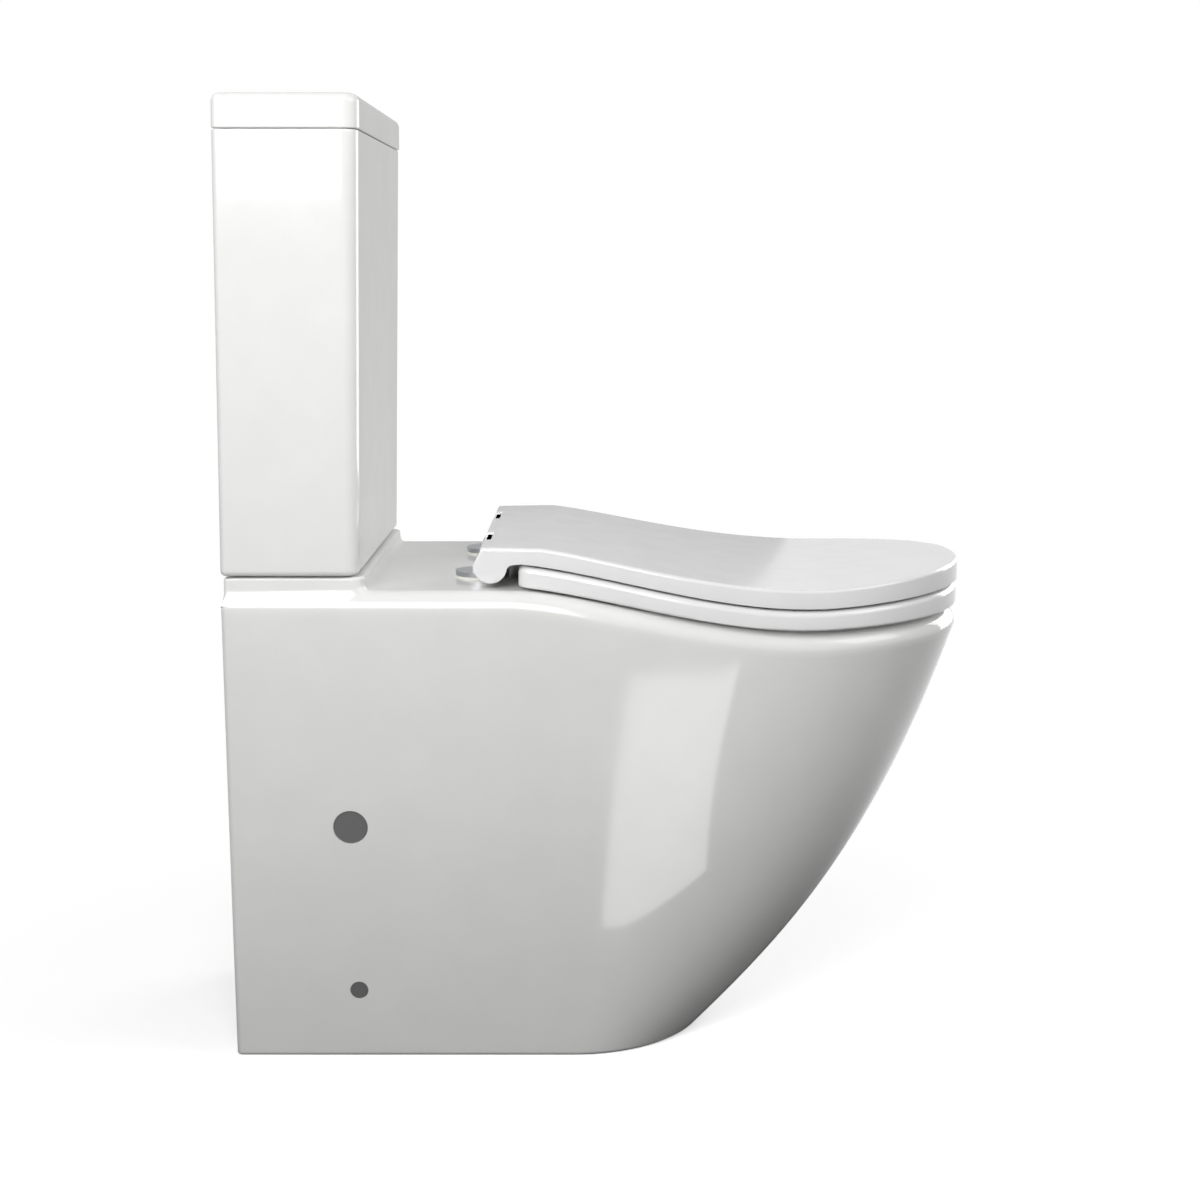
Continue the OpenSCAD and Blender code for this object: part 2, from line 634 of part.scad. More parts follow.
module buffers(inward, low, high) {
    for (y = buffer_places) each_side()
        translate([seat_half_width(y) * (y < seat_mid_y
            ? pow(1 - pow((seat_mid_y - y) / (seat_mid_y - seat_front_y), seat_roundness), 1 / seat_roundness)
            : 1) - inward, y, low[y == buffer_places[0] ? 0 : 1]])
            cylinder(r = buffer_radius, h = high[y == buffer_places[0] ? 0 : 1]
                - low[y == buffer_places[0] ? 0 : 1], $fn = 32);
}
buffer_ends = [for (y = buffer_places) [
    max([for (d = [-buffer_radius:buffer_radius]) rim_z(y + d)]) + touch_gap,
    max([for (d = [-buffer_radius:buffer_radius]) ring_bottom_z(y + d)]) + buffer_sink,
    max([for (d = [-buffer_radius:buffer_radius]) ring_top_z(y + d)]) + 0.8 + touch_gap,
    min([for (d = [-buffer_radius:buffer_radius]) lid_top_z(y + d)]) - lid_plate + buffer_sink]];

module seat_ring_buffers() {
    color(nylon) buffers(30, [for (e = buffer_ends) e[0]], [for (e = buffer_ends) e[1]]);
}
module seat_lid_buffers() {
    color(nylon) buffers(30, [for (e = buffer_ends) e[2]], [for (e = buffer_ends) e[3]]);
}

// ---- Hinges ----
disc_radius = 24;
disc_back = 11;
disc_height = 4;
gasket_height = 2;
post_radius = 8;
post_foot_height = 7;
hinge_bolt_radius = 4;
hinge_bolt_length = 62;
wing_thickness = 4;

module at_hinges(z, back = disc_back) {
    at_sides(hinge_x) translate([0, hinge_y + back, z]) children();
}
module tube(outer, inner, h) {
    difference() {
        cylinder(r = outer, h = h);
        translate([0, 0, -overlap]) cylinder(r = inner, h = h + 2 * overlap);
    }
}
module wing_nut(radius, bore, h, span) {
    difference() {
        union() {
            cylinder(r = radius, h = h);
            translate([-span / 2, -wing_thickness / 2, -h / 2]) cube([span, wing_thickness, h]);
        }
        translate([0, 0, -h]) cylinder(r = bore, h = 3 * h);
    }
}

module hinge_gaskets() {
    color(nylon) at_hinges(deck_z) tube(disc_radius - 0.5, hinge_bolt_radius + 1, gasket_height);
}
module hinge_base_discs() {
    color(steel) at_hinges(deck_z + gasket_height) tube(disc_radius, hinge_bolt_radius, disc_height);
}
module hinge_posts() {
    base_z = deck_z + gasket_height + disc_height;
    color(steel) difference() {
        each_side() {
            translate([hinge_x - post_width / 2, hinge_y, hinge_z]) rotate([0, 90, 0])
                cylinder(r = ear_radius, h = post_width);
            translate([hinge_x - post_width / 2, hinge_y - ear_radius + 1, base_z])
                cube([post_width, disc_back + post_radius + ear_radius - 1, post_foot_height]);
        }
        pin_bore(hinge_pin_radius);
        at_hinges(base_z - overlap) cylinder(r = hinge_bolt_radius, h = 6 + overlap);
    }
}
module hinge_pins() {
    length = post_width + 2 * (ear_width + side_gap);
    color(chrome) at_sides(hinge_x) translate([-length / 2, hinge_y, hinge_z]) rotate([0, 90, 0])
        cylinder(r = hinge_pin_radius, h = length);
}
module hinge_bolts() {
    top_z = deck_z + gasket_height + disc_height + 6;
    color(steel) at_hinges(top_z - hinge_bolt_length) cylinder(r = hinge_bolt_radius, h = hinge_bolt_length);
}
cone_height = 12;
module hinge_washers() {
    color(nylon) at_hinges(deck_z - deck_wall - cone_height) tube(14, hinge_bolt_radius, cone_height);
}
module hinge_nuts() {
    color(nylon) at_hinges(deck_z - deck_wall - cone_height - 8) wing_nut(9, hinge_bolt_radius, 8, 34);
}

// ---- Flush buttons ----
bezel_flange = 4.5;
bezel_rise = 2.5;
bezel_wall = 2.5;
bezel_depth = 36;
bezel_floor = 3;
button_top_z = overall_height + bezel_rise - 1;
button_radius = button_hole_radius - 0.5 - bezel_wall - 0.5;
split_x = 4;
split_gap = 0.5;
rod_radius = 3;
full_rod_x = -9;
half_rod_x = 12;
bezel_bottom_z = overall_height + bezel_rise - bezel_depth;

module at_cistern(z) {
    translate([0, cistern_mid_y, z]) children();
}
module button_bezel() {
    color(chrome) at_cistern(0) difference() {
        union() {
            translate([0, 0, overall_height]) cylinder(r = button_hole_radius + bezel_flange, h = bezel_rise);
            translate([0, 0, bezel_bottom_z])
                cylinder(r = button_hole_radius - 0.5, h = bezel_depth);
        }
        translate([0, 0, bezel_bottom_z + bezel_floor])
            cylinder(r = button_radius + 0.5, h = bezel_depth);
        for (x = [full_rod_x, half_rod_x]) translate([x, 0, bezel_bottom_z - overlap])
            cylinder(r = rod_radius + running, h = bezel_floor + 2 * overlap);
    }
}
module button_bezel_nut() {
    color(nylon) at_cistern(overall_height - lid_ware - 8)
        tube(button_hole_radius + 8, button_hole_radius - 0.5, 8);
}
button_skirt = 9;
module button_part(from_x, to_x) {
    color(chrome) at_cistern(0) intersection() {
        difference() {
            translate([0, 0, button_top_z - button_skirt]) cylinder(r = button_radius, h = button_skirt);
            translate([0, 0, button_top_z - button_skirt - overlap])
                cylinder(r = button_radius - 2, h = button_skirt - 3 + overlap);
        }
        translate([from_x, -button_radius - 1, button_top_z - button_skirt])
            cube([to_x - from_x, 2 * button_radius + 2, button_skirt]);
    }
}
module full_flush_button() {
    button_part(-button_radius - 1, split_x - split_gap);
}
module half_flush_button() {
    button_part(split_x + split_gap, button_radius + 1);
}
module button_rod(x) {
    color(nylon) at_cistern(rod_end_z) translate([x, 0, 0])
        cylinder(r = rod_radius, h = button_top_z - 3 - rod_end_z);
}
module full_flush_rod() { button_rod(full_rod_x); }
module half_flush_rod() { button_rod(half_rod_x); }

spring_radius = 4.6;
spring_wire = 0.6;
spring_turns = 6;
spring_sides = 6;
spring_steps = 12;

// A coil spring from the bezel's floor up to the button.
module button_spring(x) {
    low = bezel_bottom_z + bezel_floor + spring_wire + 0.1;
    high = button_top_z - 3 - spring_wire - 0.1;
    count = spring_turns * spring_steps;
    rings = [for (j = [0:count]) let (a = 360 * j / spring_steps, z = lerp(low, high, j / count))
        [for (i = [0:spring_sides - 1])
            let (b = 360 * i / spring_sides, r = spring_radius + spring_wire * cos(b))
            [r * cos(a), r * sin(a), z - spring_wire * sin(b)]]];
    color(steel) at_cistern(0) translate([x, 0, 0]) stacked(rings);
}
module full_flush_spring() { button_spring(full_rod_x); }
module half_flush_spring() { button_spring(half_rod_x); }

// ---- Flush valve ----
valve_thread = 30;
valve_bore = 26;
valve_flange = 42;
valve_washer = 2.5;
valve_flange_height = 4;
seat_height = 4;
seal_thickness = 4;
cage_radius = 37;
cage_wall = 3;
cage_window = 30;
rod_space = 125;      // from the top of the valve to the top of the tank
rod_gap = 1;
bridge_clearance = 27; // from the risen tube to the bridge
bridge_plate = 5;
tube_radius = 15;
tube_wall = 2;
valve_lift = button_travel * valve_lift_ratio;
bridge_height = valve_lift + bridge_clearance;

valve_flange_z = tank_inside_z + valve_washer;
seat_z = valve_flange_z + valve_flange_height + seat_height;
bridge_top_z = tank_top_z - rod_space;
head_z = bridge_top_z - bridge_height;
rod_end_z = bridge_top_z + button_travel + rod_gap;
cage_z = valve_flange_z + valve_flange_height;

module flush_valve_base() {
    color(nylon) at_cistern(0) difference() {
        union() {
            translate([0, 0, valve_flange_z]) cylinder(r = valve_flange, h = valve_flange_height);
            translate([0, 0, valve_flange_z]) cylinder(r = valve_bore + 2, h = seat_z - valve_flange_z);
            translate([0, 0, pan_height + 4]) cylinder(r = valve_thread, h = valve_flange_z - pan_height - 4);
        }
        translate([0, 0, pan_height]) cylinder(r = valve_bore, h = seat_z - pan_height + overlap);
    }
}
module flush_valve_washer() {
    color(rubber) at_cistern(tank_inside_z) tube(valve_flange - 2, valve_thread, valve_washer);
}
module flush_valve_cage() {
    color(nylon) at_cistern(cage_z) difference() {
        tube(cage_radius, cage_radius - cage_wall, head_z - cage_z);
        for (a = [0, 90]) rotate([0, 0, a + 45]) translate([-cage_radius - overlap, -cage_window / 2, 6])
            cube([2 * (cage_radius + overlap), cage_window, head_z - cage_z - 18]);
    }
}
module flush_valve_head() {
    leg = 6;
    color(valve_blue) at_cistern(head_z) {
        tube(cage_radius, tube_radius + running, 6);
        for (a = [0, 180]) rotate([0, 0, a]) translate([cage_radius - leg - 3, -8, 6])
            cube([leg, 16, bridge_height - 6 - bridge_plate]);
        translate([-cage_radius + 3, -8, bridge_height - bridge_plate])
            cube([2 * cage_radius - 6, 16, bridge_plate]);
    }
}
module overflow_tube() {
    color(valve_blue) at_cistern(seat_z + touch_gap + seal_thickness) {
        tube(tube_radius, tube_radius - tube_wall,
            head_z + 12 - seat_z - touch_gap - seal_thickness);
        tube(valve_bore - 1, tube_radius - tube_wall, 3);
    }
}
module flush_valve_seal() {
    color(rubber) at_cistern(seat_z + touch_gap) tube(valve_bore + 3, tube_radius - tube_wall, seal_thickness);
}
module flush_valve_nut() {
    color(nylon) at_cistern(tank_floor_z - 10) difference() {
        union() {
            cylinder(r = valve_thread + 7, h = 10);
            for (a = [0:60:300]) rotate([0, 0, a]) translate([valve_thread + 4, -4, 0]) cube([7, 8, 10]);
        }
        translate([0, 0, -overlap]) cylinder(r = valve_thread, h = 12);
    }
}
module doughnut_gasket() {
    color(rubber) at_cistern(pan_height) tube(valve_thread + 14, valve_thread, tank_floor_z - 10 - pan_height);
}

// ---- Cistern to pan coupling ----
coupling_bolt_radius = 4;
coupling_bolt_drop = 34;
washer_radius = 10;

module at_couplings(z) {
    at_cistern(z) at_sides(coupling_spacing / 2) children();
}
module coupling_rubber_washers() {
    color(rubber) at_couplings(tank_inside_z) tube(washer_radius, coupling_bolt_radius, 3);
}
module coupling_bolts() {
    low = pan_height - coupling_bolt_drop - 14;
    color(steel) at_couplings(0) {
        translate([0, 0, low]) cylinder(r = coupling_bolt_radius, h = tank_inside_z + 3 - low);
        translate([0, 0, tank_inside_z + 3]) cylinder(r = washer_radius - 1, h = 2);
        translate([0, 0, tank_inside_z + 5]) cylinder(r = 7.5, h = 5, $fn = 6);
    }
}
module coupling_lock_nuts() {
    color(steel) at_couplings(tank_floor_z - 6) difference() {
        cylinder(r = 8, h = 6, $fn = 6);
        translate([0, 0, -overlap]) cylinder(r = coupling_bolt_radius, h = 8);
    }
}
module coupling_washers() {
    color(steel) at_couplings(deck_z - deck_wall - 2) tube(washer_radius, coupling_bolt_radius, 2);
}
module coupling_wing_nuts() {
    color(steel) at_couplings(deck_z - deck_wall - 10) wing_nut(7, coupling_bolt_radius, 8, 30);
}

// ---- Fill valve ----
tail_radius = 10.45;  // outside of a G1/2 thread
tail_drop = 42;
riser_radius = 9;
fill_flange = 16;
fill_washer = 2.5;
float_radius = 25;
float_height = 48;
fill_head_radius = 13;
fill_head_height = 26;
lever_radius = 38;
lever_pin_radius = 2;
fill_top_z = tank_top_z - 92;
lever_z = fill_top_z + 20;
float_clearance = 34;  // from the risen float to the head
float_z = fill_top_z - float_height - float_travel - float_clearance;

module at_fill(z) {
    at_cistern(z) translate([inlet_offset, 0, 0]) children();
}
module fill_valve_riser() {
    color(nylon) at_fill(0) difference() {
        union() {
            translate([0, 0, tank_floor_z - tail_drop])
                cylinder(r = tail_radius, h = tank_inside_z + fill_washer - tank_floor_z + tail_drop);
            translate([0, 0, tank_inside_z + fill_washer]) cylinder(r = fill_flange, h = 4);
            translate([0, 0, tank_inside_z + fill_washer])
                cylinder(r = riser_radius, h = fill_top_z - tank_inside_z - fill_washer);
        }
        translate([0, 0, tank_floor_z - tail_drop - overlap])
            cylinder(r = 6, h = fill_top_z - tank_floor_z + tail_drop - 4);
    }
}
module fill_valve_washer() {
    color(rubber) at_fill(tank_inside_z) tube(fill_flange - 1, tail_radius, fill_washer);
}
module fill_valve_nut() {
    color(nylon) at_fill(tank_floor_z - 9) difference() {
        cylinder(r = 17, h = 9, $fn = 6);
        translate([0, 0, -overlap]) cylinder(r = tail_radius, h = 11);
    }
}
module fill_valve_head() {
    color(valve_blue) at_fill(fill_top_z) {
        difference() {
            cylinder(r = fill_head_radius, h = fill_head_height);
            translate([-6, -3.2, 10]) cube([30, 6.4, 20]);
        }
        translate([0, -5, 20]) rotate([-90, 0, 0])
            cylinder(r = lever_pin_radius, h = 10);
    }
}
module fill_valve_lever() {
    color(nylon) at_fill(lever_z) difference() {
        union() {
            rotate([-90, 0, 0]) translate([0, 0, -2.5]) cylinder(r = 5, h = 5);
            translate([0, -2.5, -2]) cube([lever_radius, 5, 4]);
        }
        translate([0, -overlap - 2.5, 0]) rotate([-90, 0, 0])
            cylinder(r = lever_pin_radius + running, h = 5 + 2 * overlap);
    }
}
module fill_valve_float() {
    color(valve_blue) at_fill(float_z) difference() {
        cylinder(r = float_radius, h = float_height);
        translate([0, 0, -overlap]) cylinder(r = riser_radius + running, h = float_height + 2 * overlap);
        translate([0, 0, -overlap]) difference() {
            cylinder(r = float_radius - 2, h = float_height - 3);
            cylinder(r = riser_radius + 2.5, h = float_height);
        }
    }
}
module float_adjuster_rod() {
    rod_x = lever_radius - 5;
    color(nylon) at_fill(float_z + float_height) {
        translate([float_radius - 12, -4, 0]) cube([rod_x - float_radius + 16, 8, 3]);
        translate([rod_x, 0, 0]) cylinder(r = 2, h = lever_z - 2 - float_z - float_height - 1.2, $fn = 24);
    }
}

pan();
cistern_tank();
cistern_lid();
seat_lid();
seat_ring();
hinge_base_discs();
hinge_gaskets();
hinge_posts();
hinge_pins();
hinge_bolts();
hinge_washers();
hinge_nuts();
seat_ring_buffers();
seat_lid_buffers();
button_bezel();
button_bezel_nut();
full_flush_button();
half_flush_button();
full_flush_rod();
half_flush_rod();
full_flush_spring();
half_flush_spring();
flush_valve_base();
flush_valve_washer();
flush_valve_cage();
flush_valve_head();
overflow_tube();
flush_valve_seal();
flush_valve_nut();
doughnut_gasket();
coupling_bolts();
coupling_rubber_washers();
coupling_lock_nuts();
coupling_washers();
coupling_wing_nuts();
fill_valve_riser();
fill_valve_washer();
fill_valve_nut();
fill_valve_head();
fill_valve_float();
float_adjuster_rod();
fill_valve_lever();
side_caps_large();
side_caps_small();
side_screws();
floor_brackets();
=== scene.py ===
"""Close coupled toilet: glazed pan and cistern, a wave-shaped seat and lid, hinges and flush buttons.

Shapes are worked out in millimetres, X across, +Y to the wall, Z up from the floor, and become
metres where a mesh is made.
"""
import json

import bpy
import numpy as np
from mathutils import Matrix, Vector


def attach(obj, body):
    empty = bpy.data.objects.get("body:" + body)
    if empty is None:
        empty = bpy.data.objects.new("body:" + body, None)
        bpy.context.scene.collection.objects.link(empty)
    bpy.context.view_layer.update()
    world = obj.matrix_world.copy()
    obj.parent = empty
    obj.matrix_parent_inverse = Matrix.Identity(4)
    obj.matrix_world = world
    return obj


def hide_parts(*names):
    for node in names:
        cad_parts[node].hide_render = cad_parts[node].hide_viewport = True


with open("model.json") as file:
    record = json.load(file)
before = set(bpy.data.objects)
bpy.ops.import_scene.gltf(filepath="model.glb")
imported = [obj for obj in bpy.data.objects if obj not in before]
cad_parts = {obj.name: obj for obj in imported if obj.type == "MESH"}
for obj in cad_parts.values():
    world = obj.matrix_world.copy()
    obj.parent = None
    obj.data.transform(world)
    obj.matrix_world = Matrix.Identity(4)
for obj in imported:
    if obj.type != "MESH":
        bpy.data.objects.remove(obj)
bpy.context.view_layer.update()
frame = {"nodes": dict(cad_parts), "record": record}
WALL_Y = 325.0
SEAT_FRONT_Y = -325.0


# ---- Finishes ----
# The pan and cistern are vitreous china under a fired glaze, the seat and lid a pressed thermoset,
# and the fittings are chromed, zinc plated or turned metal, nylon, ABS and rubber.
def linear(colour):
    """An sRGB hex colour as linear RGBA: c / 12.92 when dark, else ((c + 0.055) / 1.055) ** 2.4."""
    c = np.array([int(colour[i:i + 2], 16) for i in (1, 3, 5)]) / 255
    return (*np.where(c < 0.04045, c / 12.92, ((c + 0.055) / 1.055) ** 2.4), 1.0)


def add(tree, kind, links=None, **settings):
    """Adds a node; a setting named like an input sets that input, and links feed inputs from sockets."""
    node = tree.nodes.new(kind)
    for key, value in settings.items():
        if hasattr(node, key):
            setattr(node, key, value)
        else:
            node.inputs[key].default_value = value
    for name, socket in (links or {}).items():
        tree.links.new(socket, node.inputs[name])
    return node


def finish_of(name, colour, darker, roughness, grain_mm, bump_mm, metallic=0.0, ior=1.5, spread=0.03):
    """A material whose colour, roughness and surface vary with noise of one real grain size.

    colour and darker are the two ends of its colour; spread is how far the roughness wanders.
    """
    material = bpy.data.materials.new(name)
    material.use_nodes = True
    tree = material.node_tree
    shader = tree.nodes["Principled BSDF"]
    place = add(tree, "ShaderNodeTexCoord")
    noise = add(tree, "ShaderNodeTexNoise", {"Vector": place.outputs["Object"]},
                Scale=1000 / grain_mm, Detail=3.0)
    tint = add(tree, "ShaderNodeValToRGB", {"Fac": noise.outputs["Fac"]})
    tint.color_ramp.elements[0].color = linear(darker)
    tint.color_ramp.elements[0].position = 0.3
    tint.color_ramp.elements[1].color = linear(colour)
    tint.color_ramp.elements[1].position = 0.7
    gloss = add(tree, "ShaderNodeMapRange", {"Value": noise.outputs["Fac"]})
    gloss.inputs["To Min"].default_value = roughness - spread
    gloss.inputs["To Max"].default_value = roughness + spread
    relief = add(tree, "ShaderNodeBump", {"Height": noise.outputs["Fac"]}, Strength=1.0,
                 Distance=bump_mm / 1000)
    tree.links.new(tint.outputs["Color"], shader.inputs["Base Color"])
    tree.links.new(gloss.outputs["Result"], shader.inputs["Roughness"])
    tree.links.new(relief.outputs["Normal"], shader.inputs["Normal"])
    shader.inputs["Metallic"].default_value = metallic
    if not metallic:
        shader.inputs["IOR"].default_value = ior
    return material


# Fired glaze is glassy and very slightly wavy, which softens the edges of what it mirrors.
china = finish_of("glazed vitreous china", "#f3f3f2", "#f0f0ee", 0.09, 45, 0.05, ior=1.52, spread=0.02)
# Pressed urea resin is polished out of its mould, a touch whiter and softer in gloss than the glaze.
thermoset = finish_of("polished urea thermoset", "#f7f7f7", "#f4f4f4", 0.14, 30, 0.02, ior=1.56)
# Satin metal from the lathe.
turned = finish_of("satin turned metal", "#b9bbbd", "#a3a5a8", 0.3, 1.2, 0.01, metallic=1.0)
# Chrome over polished brass mirrors the room with hardly any haze.
chrome = finish_of("polished chrome plate", "#d6d8da", "#cfd1d4", 0.07, 20, 0.004, metallic=1.0)
# Bright zinc on steel has a mottled grey crystal; 2 mm patches show it.
zinc = finish_of("bright zinc plate", "#b4b6b8", "#8f9296", 0.34, 2, 0.01, metallic=1.0, spread=0.08)
# Spark-eroded moulds leave a fine matt grain; 0.6 mm is as fine as shows. The caps are blanking plugs, but
# their flat mid grey is painted shade, copied from the dark inside of the open side holes.
hole_shade_cap_grey = finish_of("grained grey caps with painted hole shade", "#6e6e6e", "#676767", 0.55, 0.6, 0.02, ior=1.49)
nylon = finish_of("natural nylon", "#e9e8e2", "#dfddd4", 0.42, 3, 0.01, ior=1.53, spread=0.06)
blue_abs = finish_of("blue grey ABS", "#8195a8", "#788b9e", 0.38, 2, 0.01, ior=1.54)
rubber = finish_of("black EPDM rubber", "#2e2e2f", "#232324", 0.65, 0.8, 0.02, ior=1.52)

# The grey_plastic caps carry painted shade: their flat grey stands for the dark inside of the side holes.
FINISHES = {"glazed_china": china, "seat_plastic": thermoset, "satin_metal": turned, "chrome": chrome,
            "zinc_steel": zinc, "grey_plastic": hole_shade_cap_grey, "white_nylon": nylon,
            "blue_grey_plastic": blue_abs, "black_rubber": rubber}
for part in frame["record"]["subparts"]:
    for holder in frame["nodes"][part["node"]].material_slots:
        holder.material = FINISHES[part["material_slot"]]


# ---- Surfaces ----
# Every large piece is a closed grid: a stack of rings with equal numbers of points.
def solid(name, rows, joined=False):
    """A mesh whose ring j joins ring j + 1; the last joins the first, or a fan closes each end."""
    rows = np.asarray(rows, float)
    count, n = rows.shape[:2]
    points = rows.reshape(-1, 3)
    ring, column = np.meshgrid(np.arange(count if joined else count - 1), np.arange(n), indexing="ij")
    a = ring * n + column
    b = ring * n + (column + 1) % n
    total = count * n
    faces = np.stack([a, b, (b + n) % total, (a + n) % total], -1).reshape(-1, 4).tolist()
    if not joined:
        middles = [(rows[k].min(0) + rows[k].max(0)) / 2 for k in (0, -1)]
        points = np.vstack([points, middles])
        i = np.arange(n)
        last = total - n
        faces += np.stack([(i + 1) % n, i, np.full(n, total)], -1).tolist()
        faces += np.stack([last + i, last + (i + 1) % n, np.full(n, total + 1)], -1).tolist()
    mesh = bpy.data.meshes.new(name)
    mesh.from_pydata((points / 1000).tolist(), [], faces)
    p, q, r = (points[[f[k] for f in faces]] for k in (0, 1, 2))
    far = points[[f[-1] for f in faces]]
    if (np.einsum("ij,ij->i", p, np.cross(q, r)) + np.einsum("ij,ij->i", p, np.cross(r, far))).sum() < 0:
        mesh.flip_normals()
    piece = bpy.data.objects.new(name, mesh)
    bpy.context.scene.collection.objects.link(piece)
    return piece


def dress(piece, material, body, slot, *nodes, sharp=38):
    """Smooth shading up to an angle, then the material, the body it rides on and the nodes it replaces."""
    piece.data.shade_smooth()
    piece.data.set_sharp_from_angle(angle=np.radians(sharp))
    piece.data.materials.clear()
    piece.data.materials.append(material)
    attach(piece, body)
    if nodes:
        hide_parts(*nodes)
    return piece


def cut(piece, cutters):
    """Takes each cutter away from the piece by an exact boolean."""
    for cutter in cutters:
        step = piece.modifiers.new("cut", "BOOLEAN")
        step.operation = "DIFFERENCE"
        step.solver = "EXACT"
        step.object = cutter
    seen = piece.evaluated_get(bpy.context.evaluated_depsgraph_get())
    mesh = bpy.data.meshes.new_from_object(seen)
    piece.modifiers.clear()
    piece.data = mesh
    for cutter in cutters:
        bpy.data.objects.remove(cutter)


def rod(name, start, end, radius, sides=64):
    """A cylinder from start to end: circle points along two directions square to its axis."""
    start, end = np.array(start, float), np.array(end, float)
    axis = (end - start) / np.linalg.norm(end - start)
    first = np.cross(axis, [0, 1, 0] if abs(axis[1]) < 0.9 else [1, 0, 0])
    first /= np.linalg.norm(first)
    second = np.cross(axis, first)
    t = np.linspace(0, 2 * np.pi, sides, endpoint=False)[:, None]
    circle = radius * (np.cos(t) * first + np.sin(t) * second)
    return solid(name, [start + circle, end + circle])


def block(name, low, high):
    """A box between two corners, as two rings of four points."""
    x, y = np.array([low[0], high[0], high[0], low[0]]), np.array([low[1], low[1], high[1], high[1]])
    return solid(name, [np.stack([x, y, np.full(4, z)], -1) for z in (low[2], high[2])])


def lerp(a, b, u):
    return a + (b - a) * u


# ---- The wave ----
# The rim, the ring and the lid share one wave: level at the hinge, low two thirds of the way
# forward, and a little higher at the tip.
DECK_Z = 421.0
HINGE_Y, HINGE_Z = 97.0, 441.0
WAVE_START_Y, LID_WAVE_START_Y, WAVE_LOW_Y = 80.0, 53.0, -190.0
RIM_DIP, LID_DIP = 36.0, 34.5


def wave(y, start, power):
    """0 behind start, then a quarter sine to 1 at the low point, raised to a power."""
    u = np.clip((start - y) / (start - WAVE_LOW_Y), 0, 1)
    return np.sin(np.pi / 2 * u) ** power


def nose(y):
    """0 up to the low point, then rising to 1 at the tip as a power of 1.35."""
    return np.clip((WAVE_LOW_Y - y) / (WAVE_LOW_Y - SEAT_FRONT_Y), 0, 1) ** 1.35


def rim_z(y):
    return DECK_Z - RIM_DIP * wave(y, WAVE_START_Y, 1.5) + 4 * nose(y)


def ring_bottom_z(y):
    return rim_z(y) + 2.5


def ring_top_z(y):
    return ring_bottom_z(y) + 18.5 - 1.5 * wave(y, WAVE_START_Y, 1.5) + 3.5 * nose(y)


def lid_bottom_z(y):
    return ring_top_z(y) + 1.8


def lid_top_z(y):
    level = lid_bottom_z(np.array(WAVE_START_Y)) + 13.5
    return level - LID_DIP * wave(y, LID_WAVE_START_Y, 1.2) + 10.5 * nose(y)


FRONT = np.radians(np.linspace(0, 90, 73))
SIDE = np.linspace(0, 1, 49)[1:]
CORNER = np.radians(np.linspace(0, 90, 9))[1:]
REAR = np.linspace(0, 1, 13)[1:]
HALF = len(FRONT) + len(SIDE) + len(CORNER) + len(REAR)


def mirrored(half):
    """A closed outline from its right half, middle of the front to middle of the back."""
    return np.vstack([half, half[-2:0:-1] * [-1, 1]])


def outline(rear_w, mid_w, rear_y, mid_y, front_y, corner, roundness, inset=0.0):
    """Superellipse nose, sides that widen as a quarter cosine, rounded rear corners, straight back."""
    rw, mw, ry, fy = rear_w - inset, mid_w - inset, rear_y - inset, front_y + inset
    c = max(0.5, corner - inset)
    return mirrored(np.vstack([
        np.stack([mw * np.sin(FRONT) ** (2 / roundness),
                  mid_y - (mid_y - fy) * np.abs(np.cos(FRONT)) ** (2 / roundness)], -1),
        np.stack([lerp(rw, mw, np.cos(np.pi / 2 * SIDE)), lerp(mid_y, ry - c, SIDE)], -1),
        np.stack([rw - c + c * np.cos(CORNER), ry - c + c * np.sin(CORNER)], -1),
        np.stack([(rw - c) * (1 - REAR), np.full(len(REAR), ry)], -1)]))


def oval(half_width, front_y, rear_y):
    """Two half ellipses that meet a little in front of the middle."""
    mid_y = lerp(front_y, rear_y, 0.48)
    a = np.linspace(0, np.pi, HALF)
    reach = np.where(a < np.pi / 2, mid_y - front_y, rear_y - mid_y)
    return mirrored(np.stack([half_width * np.sin(a), mid_y - reach * np.cos(a)], -1))


def lifted(points, z):
    """Plan points with a height each."""
    return np.column_stack([points, np.broadcast_to(z, len(points))])


# ---- Pan ----
# The pan is slip-cast china in one piece: a hollow skirt, a rimless bowl and a flat deck, glazed
# all over and fired. Its keel sweeps back from the rim to a short foot.
WARE, DECK_WARE, SHOULDER, MOUTH_EDGE = 12.0, 14.0, 16.0, 8.0
BOWL_FRONT_Y, BOWL_REAR_Y, SUMP_Z = -263.0, 5.0, 76.0
# Height above the sump, half width, and how far the front and rear draw in.
BOWL = np.array([[224, 105, 23, -5], [174, 82, 68, -9], [129, 60, 121, -12], [84, 48, 156, -13],
                 [24, 42, 174, -15], [0, 30, 190, -26]], float)


def skirt_outline(s, inset=0.0):
    """The skirt's plan at height fraction s: widths bow out and the keel bows forward as s(1 - s)."""
    spread = s + 0.12 * s * (1 - s)
    reach = s + s * (1 - s) * (0.58 + 0.15 * (1 - 2 * s))
    return outline(lerp(256, 346, spread) / 2, lerp(256, 354, spread) / 2, WALL_Y,
                   lerp(26, -110, s), lerp(-90, -323, reach), 5, lerp(2, 2.15, s), inset)


def skirt_half_width(z):
    s = z / (DECK_Z - SHOULDER)
    return lerp(256, 346, s + 0.12 * s * (1 - s)) / 2


def skirt_ring(s, inset=0.0):
    p = skirt_outline(s, inset)
    return lifted(p, s * (rim_z(p[:, 1]) - SHOULDER))


def on_rim(p, drop=0.0):
    return lifted(p, rim_z(p[:, 1]) - drop)


def bowl_mouth(grow=0.0):
    return oval(118 + grow, BOWL_FRONT_Y - grow, BOWL_REAR_Y + grow)


